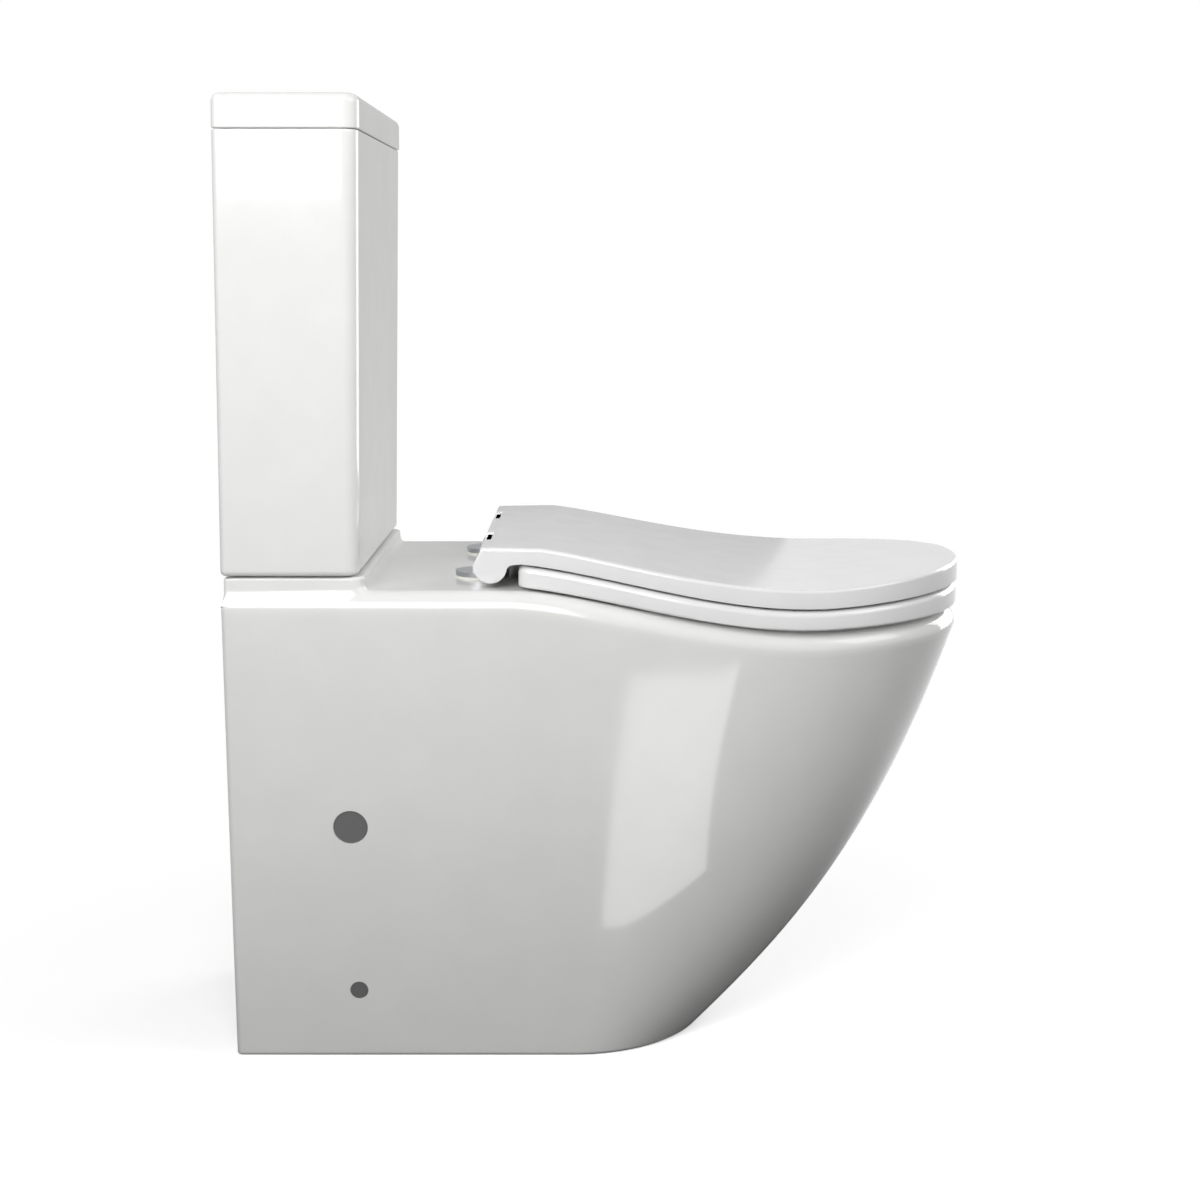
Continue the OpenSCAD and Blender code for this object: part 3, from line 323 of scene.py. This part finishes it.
def eased(rows, count):
    """Rows read along a Catmull-Rom curve through the given ones."""
    p = np.vstack([2 * rows[0] - rows[1], rows, 2 * rows[-1] - rows[-2]])
    t = np.linspace(0, len(rows) - 1, count)
    k = np.minimum(t.astype(int), len(rows) - 2)
    f = (t - k)[:, None]
    p0, p1, p2, p3 = p[k], p[k + 1], p[k + 2], p[k + 3]
    return 0.5 * (2 * p1 + (p2 - p0) * f + (2 * p0 - 5 * p1 + 4 * p2 - p3) * f ** 2
                  + (3 * p1 - p0 - 3 * p2 + p3) * f ** 3)


def bowl_rings(count, grow=0.0):
    return [lifted(oval(w + grow, BOWL_FRONT_Y + f - grow, BOWL_REAR_Y + r + grow),
                   SUMP_Z + h - grow * (h < 1)) for h, w, f, r in eased(BOWL, count)]


quarter = np.radians(np.linspace(0, 90, 10))
under, shoulder = skirt_outline(1, WARE), skirt_outline(1, SHOULDER)
pan_rows = (
    bowl_rings(14, WARE)[::-1]
    + [on_rim(bowl_mouth(WARE - 2), 42)]
    + [on_rim(lerp(under, bowl_mouth(WARE), u), DECK_WARE) for u in np.linspace(1, 0, 14)]
    + [skirt_ring(s, WARE) for s in np.linspace(0.92, 0, 12)]
    + [skirt_ring(0, 1.5)]
    + [skirt_ring(s) for s in np.concatenate([[0.004, 0.008], np.linspace(0.02, 0.985, 52)])]
    + [on_rim(skirt_outline(1, SHOULDER * (1 - np.cos(a))), SHOULDER * (1 - np.sin(a))) for a in quarter]
    + [on_rim(lerp(shoulder, bowl_mouth(MOUTH_EDGE), u)) for u in np.linspace(0, 1, 40)[1:]]
    + [on_rim(bowl_mouth(MOUTH_EDGE * (1 - np.cos(a))), MOUTH_EDGE * (1 - np.sin(a)))
       for a in quarter[-2::-1]]
    + [on_rim(bowl_mouth(-1), 25), on_rim(bowl_mouth(-2), 42)]
    + bowl_rings(34))
pan = solid("pan_glazed", pan_rows)


def across_skirt(z, y, start, end, radius, side):
    """A cutter square to the leaning skirt, from start to end along its outward normal."""
    lean = np.arctan(skirt_half_width(z + 0.5) - skirt_half_width(z - 0.5))
    out = np.array([side * np.cos(lean), 0, -np.sin(lean)])
    foot = np.array([side * skirt_half_width(z), y, z])
    return rod("cutter", foot + start * out, foot + end * out, radius)


CISTERN_MID_Y = 265.0
SEAT_BOLT_X, SEAT_BOLT_Y, COUPLING_X, INLET_X = 77.5, 108.0, 73.0, 122.0
SEAT_HOLE_R, FLUSH_HOLE_R, COUPLING_HOLE_R, INLET_HOLE_R = 7.0, 27.0, 6.0, 21.0
FOOT_BACK, HIGH_BACK, BACK_TOP = 98.0, skirt_half_width(377.0) - 30, 377.0
back = np.array([[-FOOT_BACK, -1], [FOOT_BACK, -1], [HIGH_BACK, BACK_TOP], [-HIGH_BACK, BACK_TOP]])
cutters = [solid("cutter", [np.column_stack([back[:, 0], np.full(4, y), back[:, 1]])
                            for y in (WALL_Y + 1, WALL_Y - WARE - 5)])]
for side in (-1, 1):
    cutters += [across_skirt(213, 219, -16, 4, 15, side), across_skirt(62, 215, -6, 6, 8, side),
                across_skirt(62, 215, -16, -5, 4, side),
                rod("cutter", (side * SEAT_BOLT_X, SEAT_BOLT_Y, 400), (side * SEAT_BOLT_X, SEAT_BOLT_Y, 430),
                    SEAT_HOLE_R),
                rod("cutter", (side * COUPLING_X, CISTERN_MID_Y, 400), (side * COUPLING_X, CISTERN_MID_Y, 440),
                    COUPLING_HOLE_R),
                rod("cutter", (side * INLET_X, CISTERN_MID_Y, 400), (side * INLET_X, CISTERN_MID_Y, 440),
                    INLET_HOLE_R)]
cutters += [rod("cutter", (0, -40, 115), (0, 14, 115), 39), rod("cutter", (0, -3, 382), (0, 30, 382), 20),
            rod("cutter", (0, CISTERN_MID_Y, 400), (0, CISTERN_MID_Y, 440), FLUSH_HOLE_R)]
cut(pan, cutters)
dress(pan, china, "toilet_body", "glazed_china", "pan", sharp=42)


# The waterways are cast with the pan: the trapway climbs from the sump to its weir and falls to
# the spigot, and a channel runs from under the cistern to the back of the bowl.
def pipe(name, centre, heading, outer, inner, sides=40):
    """A tube in the middle plane: circles square to the heading at each centre, out and back."""
    t = np.linspace(0, 2 * np.pi, sides, endpoint=False)

    def rings(radius):
        return [np.column_stack([radius * np.cos(t), y + radius * np.sin(t) * np.sin(h),
                                 z - radius * np.sin(t) * np.cos(h)])
                for (y, z), h in zip(centre, heading)]
    return solid(name, rings(outer) + rings(inner)[::-1], joined=True)


def bend(centre_y, centre_z, radius, start, end):
    """Points and headings of an arc between two headings in degrees."""
    h = np.radians(np.linspace(start, end, 16))
    side = 1 if end > start else -1
    return np.column_stack([centre_y + side * radius * np.sin(h), centre_z - side * radius * np.cos(h)]), h


CLIMB, FALL = 80.0, 50.0
sin_c, cos_c = np.sin(np.radians(CLIMB)), np.cos(np.radians(CLIMB))
sin_f, cos_f = np.sin(np.radians(FALL)), np.cos(np.radians(FALL))
SPIGOT_Z, FALL_END_Y, FLOOR_Z, CREST_Z = 180.0, 202.0, 115.0, 244.0
HEEL_BEND, CREST_BEND = 55.0, 46.0
fall_y, fall_z = FALL_END_Y - CREST_BEND * sin_f, SPIGOT_Z + CREST_BEND * (1 - cos_f)
crest_fall_z = CREST_Z - CREST_BEND * (1 - cos_f)
crest_y = fall_y - (crest_fall_z - fall_z) / sin_f * cos_f - CREST_BEND * sin_f
climb_y, climb_z = crest_y - CREST_BEND * sin_c, CREST_Z - CREST_BEND * (1 - cos_c)
rise_z = FLOOR_Z + HEEL_BEND * (1 - cos_c)
trap_in_y = climb_y - (climb_z - rise_z) / sin_c * cos_c - HEEL_BEND * sin_c
bends = [bend(trap_in_y, FLOOR_Z + HEEL_BEND, HEEL_BEND, 0, CLIMB),
         bend(crest_y, CREST_Z - CREST_BEND, CREST_BEND, CLIMB, -FALL),
         bend(FALL_END_Y, SPIGOT_Z + CREST_BEND, CREST_BEND, -FALL, 0)]
route = np.vstack([[[-3, FLOOR_Z]]] + [b[0] for b in bends] + [[[FALL_END_Y + 8, SPIGOT_Z]]])
turn = np.concatenate([[0]] + [b[1] for b in bends] + [[0]])
trapway = pipe("pan_trapway", route, turn, 48, 39)
spigot = pipe("pan_spigot", [(206, 180), (208, 180), (260.5, 180), (262, 180)], [0] * 4, 51, 39.5, 64)
spigot_edge = spigot.modifiers.new("edge", "BEVEL")
spigot_edge.width = 0.0015
spigot_edge.segments = 3
channel = pipe("pan_channel", [(9, 382), (238, 382)], [0, 0], 28, 20)
for piece in (trapway, spigot, channel):
    dress(piece, china, "toilet_body", "glazed_china", "pan")


# The cistern stands on a low plinth with a soft cove where it grows out of the deck.
PLINTH_Z, PLINTH_HALF, PLINTH_FRONT_Y, PLINTH_CORNER = 433.0, 168.0, 204.0, 12.0
COVE_REACH, COVE_HEIGHT, PLINTH_EDGE = 4.5, 7.0, 2.5


def deck_surface(x, y):
    """The deck's height, falling over its rounded edge as a quarter circle of the shoulder's radius."""
    half = lerp(173, 177, np.cos(np.pi / 2 * np.clip((y + 110) / 430, 0, 1)))
    d = np.clip(np.minimum(half - np.abs(x), WALL_Y - y), 0, SHOULDER)
    return rim_z(y) - SHOULDER + np.sqrt(SHOULDER ** 2 - (SHOULDER - d) ** 2)


def rounded_box(half, front_y, rear_y, front_r, rear_r):
    """A rectangle with rounded corners, with close points beside each corner so that flats stay flat."""
    a = np.radians(np.linspace(0, 90, 13))
    run = np.array([0.012, 0.25, 0.5, 0.75, 0.988])
    return mirrored(np.vstack([
        np.stack([(half - front_r) * np.append(0, run), np.full(6, front_y)], -1),
        np.stack([half - front_r + front_r * np.sin(a), front_y + front_r - front_r * np.cos(a)], -1),
        np.stack([np.full(5, half), lerp(front_y + front_r, rear_y - rear_r, run)], -1),
        np.stack([half - rear_r + rear_r * np.cos(a), rear_y - rear_r + rear_r * np.sin(a)], -1),
        np.stack([(half - rear_r) * np.append(1 - run, 0), np.full(6, rear_y)], -1)]))


def plinth_ring(grow):
    corner = max(1.0, PLINTH_CORNER + grow)
    p = rounded_box(PLINTH_HALF + grow, PLINTH_FRONT_Y - grow, 323 + grow, corner, 3)
    p[:, 1] = np.minimum(p[:, 1], WALL_Y - 0.3)
    return p


plinth_rows = [lifted(plinth_ring(-40), 414), lifted(plinth_ring(0), 408)]
for a in quarter[::-1]:
    p = plinth_ring(COVE_REACH * (1 - np.cos(a)))
    base = deck_surface(p[:, 0], p[:, 1])
    plinth_rows.append(lifted(p, base + COVE_HEIGHT * (1 - np.sin(a)) - 0.05))
plinth_rows += [lifted(plinth_ring(-PLINTH_EDGE * (1 - np.cos(a))), PLINTH_Z - PLINTH_EDGE * (1 - np.sin(a)))
                for a in quarter]
plinth_rows.append(lifted(plinth_ring(-40), PLINTH_Z))
plinth = solid("pan_plinth", plinth_rows)
cut(plinth, [rod("cutter", (x, CISTERN_MID_Y, 400), (x, CISTERN_MID_Y, 440), r)
             for x, r in ((0, FLUSH_HOLE_R), (-COUPLING_X, COUPLING_HOLE_R), (COUPLING_X, COUPLING_HOLE_R),
                      (-INLET_X, INLET_HOLE_R), (INLET_X, INLET_HOLE_R))])
dress(plinth, china, "toilet_body", "glazed_china", "pan")


# ---- Cistern ----
# A slim slip-cast box with drawn-in foot, open on top, and a loose lid with a rounded top edge that
# sits on it by a rim underneath.
LID_TOP_Z, TANK_TOP_Z, TANK_LOW_Z = 840.0, 810.0, 434.5
LID_HALF, LID_DEPTH, TANK_CORNER = 183.5, 122.0, 15.0


def cistern_ring(half, depth, z, inset=0.0):
    p = rounded_box(half - inset, WALL_Y - depth + inset, WALL_Y - inset,
                    max(1.0, TANK_CORNER - inset), max(0.5, 5 - inset))
    return lifted(p, z)


def tank_ring(u, z, inset=0.0):
    """The tank narrows from its top at u = 0 to its foot at u = 1."""
    return cistern_ring(182.5 - 8.5 * u, 121 - 4 * u, z, inset)


def to_circle(ring, radius, z):
    """A ring pulled to a circle round the cistern's middle, each point along its own direction."""
    d = ring[:, :2] - [0, CISTERN_MID_Y]
    return lifted([0, CISTERN_MID_Y] + radius * d / np.linalg.norm(d, axis=1)[:, None], z)


floor_ring, recess_ring = tank_ring(0.9, 471.5, 17), tank_ring(1, 461.5, 11)
tank_rows = (
    [to_circle(floor_ring, 32, 471.5), floor_ring]
    + [tank_ring(0.9, 471.5 + 8 * (1 - np.cos(a)), 9 + 8 * (1 - np.sin(a))) for a in quarter[1:]]
    + [tank_ring(u, lerp(808, 480, u / 0.88), 9) for u in np.linspace(0.86, 0.01, 8)]
    + [tank_ring(0, TANK_TOP_Z - 1, 9), tank_ring(0, TANK_TOP_Z, 8)]
    + [tank_ring(0, TANK_TOP_Z - 2 * (1 - np.sin(a)), 2 * (1 - np.cos(a))) for a in quarter[::-1]]
    + [tank_ring(u, lerp(TANK_TOP_Z - 2, TANK_LOW_Z + 5, u)) for u in np.linspace(0.005, 0.995, 30)]
    + [tank_ring(1, TANK_LOW_Z + 5 * (1 - np.sin(a)), 5 * (1 - np.cos(a))) for a in quarter]
    + [tank_ring(1, TANK_LOW_Z, 10.5), tank_ring(1, TANK_LOW_Z + 0.5, 11), recess_ring,
       to_circle(recess_ring, 32, 461.5)])
dress(solid("cistern_glazed", tank_rows, joined=True), china, "toilet_body", "glazed_china", "cistern_tank")


def lid_ring(z, inset=0.0):
    return cistern_ring(LID_HALF, LID_DEPTH, z, inset)


LID_LOW_Z, LID_EDGE, LID_WARE, LOCATOR = TANK_TOP_Z + 0.4, 8.0, 9.0, 12.0
top_ring = lid_ring(LID_TOP_Z, LID_EDGE + 1)
ceiling = lid_ring(LID_TOP_Z - LID_WARE, LOCATOR + LID_WARE)
lid_rows = (
    [to_circle(top_ring, 24.5, LID_TOP_Z - 0.8), to_circle(top_ring, 25.3, LID_TOP_Z),
     to_circle(top_ring, 34, LID_TOP_Z), top_ring]
    + [lid_ring(LID_TOP_Z - LID_EDGE * (1 - np.sin(a)), LID_EDGE * (1 - np.cos(a))) for a in quarter[::-1]]
    + [lid_ring(z) for z in (LID_TOP_Z - LID_EDGE - 0.5, LID_LOW_Z + 2)]
    + [lid_ring(LID_LOW_Z + 1.5 * (1 - np.sin(a)), 1.5 * (1 - np.cos(a))) for a in quarter]
    + [lid_ring(LID_LOW_Z, LOCATOR - 0.5), lid_ring(LID_LOW_Z - 0.5, LOCATOR),
       lid_ring(LID_LOW_Z - 7, LOCATOR), lid_ring(LID_LOW_Z - 8, LOCATOR + 1),
       lid_ring(LID_LOW_Z - 8, LOCATOR + LID_WARE), ceiling, to_circle(ceiling, 24.5, LID_TOP_Z - LID_WARE)])
dress(solid("cistern_lid_glazed", lid_rows, joined=True), china, "cistern_cover", "glazed_china",
      "cistern_lid")


# ---- Seat ring ----
# The ring is pressed from urea resin, flat underneath with a rolled top, and hangs on two ears.
RING_REAR_Y, LID_REAR_Y, SEAT_MID_Y = 74.0, 106.0, -120.0
RING_EAR_IN, EAR_WIDTH, EAR_RADIUS = 52.0, 12.0, 9.5


def seat_half_width(y):
    """316 mm across at the back, widening to 360 mm as a quarter cosine."""
    u = np.clip((y - SEAT_MID_Y) / (LID_REAR_Y - SEAT_MID_Y), 0, 1)
    return lerp(316, 360, np.cos(np.pi / 2 * u)) / 2


def seat_outline(rear_y, corner, inset):
    return outline(seat_half_width(rear_y), 180, rear_y, SEAT_MID_Y, SEAT_FRONT_Y, corner, 2.15, inset)


def ring_out(inset):
    return seat_outline(RING_REAR_Y, 12, 1 + inset)


def ring_opening(grow=0.0):
    return oval(106 + grow, BOWL_FRONT_Y + 11 - grow, BOWL_REAR_Y - 12 + grow)


def on_surface(p, height, dz):
    return lifted(p, height(p[:, 1]) + dz)


ring_rows = (
    [on_surface(ring_out(2.5 * (1 - np.cos(a))), ring_bottom_z, 2.5 * (1 - np.sin(a))) for a in quarter[::-1]]
    + [on_surface(ring_out(6 * (1 - np.cos(a))), ring_top_z, -6 * (1 - np.sin(a))) for a in quarter]
    + [on_surface(lerp(ring_out(6), ring_opening(7), u), ring_top_z, 0.8 * np.sin(np.pi * u) - 1.5 * u ** 4)
       for u in np.linspace(0, 1, 18)[1:]]
    + [on_surface(ring_opening(7 * (1 - np.sin(a))), ring_top_z, -1.5 - 6.5 * (1 - np.cos(a)))
       for a in quarter[1:]]
    + [on_surface(ring_opening(3 * (1 - np.cos(a))), ring_bottom_z, 4 * (1 - np.sin(a))) for a in quarter]
    + [on_surface(lerp(ring_opening(3), ring_out(2.5), u), ring_bottom_z, 0)
       for u in np.linspace(0, 1, 8)[1:-1]])
dress(solid("seat_ring_pressed", ring_rows, joined=True), thermoset, "ring", "seat_plastic", "seat_ring")


def slab(name, profile, x0, x1, edge=1.2):
    """A profile of [y, z] points carried across from x0 to x1, with softened edges."""
    y, z = np.array(profile, float).T
    piece = solid(name, [np.column_stack([np.full(len(y), x), y, z]) for x in (x0, x1)])
    step = piece.modifiers.new("edge", "BEVEL")
    step.width = edge / 1000
    step.segments = 3
    step.limit_method = "ANGLE"
    return piece


def half_circle(centre_y, centre_z, radius, start, end, count=24):
    a = np.radians(np.linspace(start, end, count))
    return np.column_stack([centre_y + radius * np.cos(a), centre_z + radius * np.sin(a)])


arm = np.vstack([half_circle(HINGE_Y, HINGE_Z, EAR_RADIUS, -90, 90),
                 [[90, HINGE_Z + 8], [84, HINGE_Z + 5.7], [64, HINGE_Z + 3]], [[64, HINGE_Z - EAR_RADIUS]]])
for side in (-1, 1):
    x = sorted((side * RING_EAR_IN, side * (RING_EAR_IN + EAR_WIDTH)))
    dress(slab(f"ring_ear_{'left' if side < 0 else 'right'}", arm, *x), thermoset, "ring", "seat_plastic",
          "seat_ring")


# ---- Lid ----
# The lid is a thin pressed shell with a rim that wraps down to the ring. Its back end rolls into a
# round lobe on each side that hides the hinges.
LID_PLATE, LID_RIM, LID_CROWN, LID_ROUND = 6.0, 8.0, 1.5, 3.0
NOTCH_IN, NOTCH_OUT = 51.0, 104.0
LOBE_RADIUS, LOBE_OUT, LID_EAR_IN = 14.5, 158.0, 91.0


def lid_out(inset):
    return seat_outline(LID_REAR_Y, 5, inset)


def crowned(p, u, dz):
    """Plan points drawn towards the lid's middle, on its top's wave and gentle crown."""
    drawn = lerp(p, np.array([0, SEAT_MID_Y + 30]), u)
    return lifted(drawn, lid_top_z(drawn[:, 1]) + LID_CROWN * (1 - (1 - u) ** 2) + dz)


inward = np.linspace(0, 0.985, 30)
lid_grid = (
    [crowned(lid_out(LID_RIM + 3), u, -LID_PLATE) for u in inward[::-1]]
    + [on_surface(lid_out(LID_RIM + 3 * (1 - np.sin(a))), lid_top_z, -LID_PLATE - 3 * (1 - np.cos(a)))
       for a in quarter[1:]]
    + [on_surface(lid_out(LID_RIM - 1 + np.cos(a)), lid_bottom_z, 1 - np.sin(a)) for a in quarter]
    + [on_surface(lid_out(1 - np.sin(a)), lid_bottom_z, 1 - np.cos(a)) for a in quarter]
    + [on_surface(lid_out(LID_ROUND * (1 - np.cos(a))), lid_top_z, -LID_ROUND * (1 - np.sin(a)))
       for a in quarter]
    + [crowned(lid_out(LID_ROUND), u, 0) for u in inward[1:]])
lid = solid("seat_lid_pressed", lid_grid)
plate_z = float(lid_top_z(np.array(HINGE_Y))) - LID_PLATE
cut(lid, [block("cutter", (x0, y0, DECK_Z), (x1, 160, z1))
          for x0, x1 in ((NOTCH_IN, NOTCH_OUT), (-NOTCH_OUT, -NOTCH_IN))
          for y0, z1 in ((HINGE_Y - 30, plate_z), (HINGE_Y + 2, 481))])
dress(lid, thermoset, "lid", "seat_plastic", "seat_lid")

# The lobe's side profile: down its sloping back, round its foot and up a small cove to the rim.
cove = np.linspace(0, 1, 10)[1:, None]
foot_end = half_circle(HINGE_Y, HINGE_Z, LOBE_RADIUS, 8, -172, 40)
start, pull_a, pull_b, end = foot_end[-1], np.array([81, 443]), np.array([76, 443.9]), np.array([66, 444.2])
lobe = np.vstack([
    [[104.5, 455.5]], foot_end,
    (1 - cove) ** 3 * start + 3 * (1 - cove) ** 2 * cove * pull_a + 3 * (1 - cove) * cove ** 2 * pull_b
    + cove ** 3 * end,
    [[66, 449]], [[84, 454]]])


def lobe_piece(x0, x1, follows_side):
    """The profile at stations across: ends draw in by 1.6 mm, and an outer lobe follows the lid."""
    middle = np.array([92.0, 444.0])
    rows = []
    for x, draw in ((x0, 1.6), (x0, 0.8), (x0 + 0.5, 0), (lerp(x0, x1, 0.5), 0), (x1 - 0.5, 0), (x1, 0.8),
                    (x1, 1.6)):
        reach = np.linalg.norm(lobe - middle, axis=1)[:, None]
        p = lobe + (middle - lobe) * draw / reach
        across = np.full(len(p), float(x))
        if follows_side:
            across = x0 + (across - x0) * (seat_half_width(p[:, 0]) - 0.6 - x0) / (x1 - x0)
        rows.append(np.column_stack([across, p]))
    return rows


side_rows = lobe_piece(NOTCH_OUT, LOBE_OUT, True)
dress(solid("lid_lobe_right", side_rows), thermoset, "lid", "seat_plastic", "seat_lid")
dress(solid("lid_lobe_left", np.array(side_rows) * [-1, 1, 1]), thermoset, "lid", "seat_plastic", "seat_lid")
dress(solid("lid_lobe_middle", lobe_piece(-NOTCH_IN, NOTCH_IN, False)), thermoset, "lid",
      "seat_plastic", "seat_lid")

lid_ear = np.vstack([half_circle(HINGE_Y, HINGE_Z, EAR_RADIUS, -180, 0),
                     [[101.5, plate_z + 1]], [[HINGE_Y - EAR_RADIUS, plate_z + 1]]])
for side in (-1, 1):
    x = sorted((side * LID_EAR_IN, side * (LID_EAR_IN + EAR_WIDTH)))
    dress(slab(f"lid_ear_{'left' if side < 0 else 'right'}", lid_ear, *x, edge=0.8), thermoset, "lid",
          "seat_plastic", "seat_lid")


# ---- Studio ----
# A pale floor that fades to white, a soft box above the near side, weaker ones in front and on the
# far side, and a low one that only glossy faces see, for the bright window on the skirt.
def studio_floor():
    """A matt sheet: pale with the object's shadow near it, white further off, dim to other rays."""
    material = bpy.data.materials.new("pale studio floor")
    material.use_nodes = True
    tree = material.node_tree
    tree.nodes.clear()
    place = add(tree, "ShaderNodeTexCoord")
    away = add(tree, "ShaderNodeVectorMath", {"Vector": place.outputs["Object"]}, operation="LENGTH")
    fade = add(tree, "ShaderNodeMapRange", {"Value": away.outputs["Value"]}, interpolation_type="SMOOTHSTEP")
    fade.inputs["From Min"].default_value = 0.2
    fade.inputs["From Max"].default_value = 0.75
    path = add(tree, "ShaderNodeLightPath")
    mirror = add(tree, "ShaderNodeMath", {0: path.outputs["Is Camera Ray"], 1: path.outputs["Is Glossy Ray"]},
                 operation="MAXIMUM")
    dim, pale = (add(tree, "ShaderNodeBsdfDiffuse") for _ in range(2))
    dim.inputs["Color"].default_value = linear("#6f6f6f")
    pale.inputs["Color"].default_value = linear("#ffffff")
    white = add(tree, "ShaderNodeEmission")
    lift = add(tree, "ShaderNodeEmission", Strength=0.45)
    lifted_pale = add(tree, "ShaderNodeAddShader", {0: pale.outputs["BSDF"], 1: lift.outputs["Emission"]})
    near = add(tree, "ShaderNodeMixShader", {0: path.outputs["Is Camera Ray"], 1: dim.outputs["BSDF"],
                                             2: lifted_pale.outputs["Shader"]})
    faded = add(tree, "ShaderNodeMixShader", {0: fade.outputs["Result"], 1: near.outputs["Shader"],
                                              2: white.outputs["Emission"]})
    mix = add(tree, "ShaderNodeMixShader", {0: mirror.outputs["Value"], 1: dim.outputs["BSDF"],
                                            2: faded.outputs["Shader"]})
    add(tree, "ShaderNodeOutputMaterial", {"Surface": mix.outputs["Shader"]})
    return material


def sheet(name, corners, material):
    """One four-sided face that belongs to the studio."""
    mesh = bpy.data.meshes.new(name)
    mesh.from_pydata(corners, [], [(0, 1, 2, 3)])
    mesh.materials.append(material)
    piece = bpy.data.objects.new(name, mesh)
    bpy.context.scene.collection.objects.link(piece)
    return piece


FLOOR_HALF = 7.0
sheet("studio_floor", [(x, y, -0.0005) for x, y in ((-FLOOR_HALF, -FLOOR_HALF), (FLOOR_HALF, -FLOOR_HALF),
                                                   (FLOOR_HALF, FLOOR_HALF), (-FLOOR_HALF, FLOOR_HALF))],
      studio_floor())

world = bpy.data.worlds.new("studio")
bpy.context.scene.world = world
world.use_nodes = True
sky = world.node_tree
background = sky.nodes["Background"]
background.inputs["Color"].default_value = linear("#ffffff")
path = add(sky, "ShaderNodeLightPath")
level = add(sky, "ShaderNodeMapRange")
sums = [path.outputs["Is Camera Ray"], path.outputs["Is Glossy Ray"], path.outputs["Is Transmission Ray"]]
first = add(sky, "ShaderNodeMath", {0: sums[0], 1: sums[1]}, operation="MAXIMUM")
both = add(sky, "ShaderNodeMath", {0: first.outputs["Value"], 1: sums[2]}, operation="MAXIMUM")
sky.links.new(both.outputs["Value"], level.inputs["Value"])
level.inputs["To Min"].default_value = 0.16
level.inputs["To Max"].default_value = 1.0
sky.links.new(level.outputs["Result"], background.inputs["Strength"])


def softbox(name, place, target, width, height, power):
    """An area lamp at place that faces target, hidden from the camera."""
    lamp = bpy.data.lights.new(name, "AREA")
    lamp.shape = "RECTANGLE"
    lamp.size, lamp.size_y, lamp.energy = width, height, power
    holder = bpy.data.objects.new(name, lamp)
    aim = np.array(target, float) - np.array(place, float)
    holder.location = place
    holder.rotation_euler = Vector(aim).to_track_quat("-Z", "Y").to_euler()
    holder.visible_camera = False
    bpy.context.scene.collection.objects.link(holder)
    return holder


softbox("key_softbox", (-1.35, 0.35, 1.15), (0, 0.1, 0.5), 0.9, 0.9, 17)
softbox("front_softbox", (-0.8, -1.9, 1.6), (0, -0.05, 0.4), 1.2, 1.2, 12)
softbox("fill_softbox", (1.6, -1.6, 0.9), (0, 0, 0.4), 1.4, 1.4, 22)
window = softbox("window_softbox", (-0.64, -0.09, 0.003), (-0.64, -0.09, 1), 0.62, 0.19, 1.3)
window.visible_diffuse = False
# A grey board on the far side keeps the shallow reflections in flat faces below white.
board_grey = bpy.data.materials.new("grey studio board")
board_grey.use_nodes = True
board_tree = board_grey.node_tree
board_tree.nodes.clear()
glow = add(board_tree, "ShaderNodeEmission", Strength=1.0, Color=linear("#c9c9c9"))
add(board_tree, "ShaderNodeOutputMaterial", {"Surface": glow.outputs["Emission"]})
board = sheet("grey_board", [(1.5, -0.3, 0), (1.5, 0.5, 0), (1.5, 0.5, 1.3), (1.5, -0.3, 1.3)], board_grey)
board.visible_camera = board.visible_diffuse = board.visible_shadow = False

# ---- Camera ----
# It looks along +X at the near side, a little down, from about the height of the cistern's middle.
camera = bpy.data.objects.new("camera", bpy.data.cameras.new("camera"))
camera.data.sensor_width = 36
camera.data.lens = 63.7
camera.data.shift_x = -0.0059
camera.data.shift_y = -0.12
PITCH = 5.22
camera.location = (-1.954, -0.003, 0.7)
camera.rotation_euler = (np.radians(90 - PITCH), 0, np.radians(-90))
bpy.context.scene.collection.objects.link(camera)
bpy.context.scene.camera = camera
bpy.context.scene.view_settings.view_transform = "Standard"
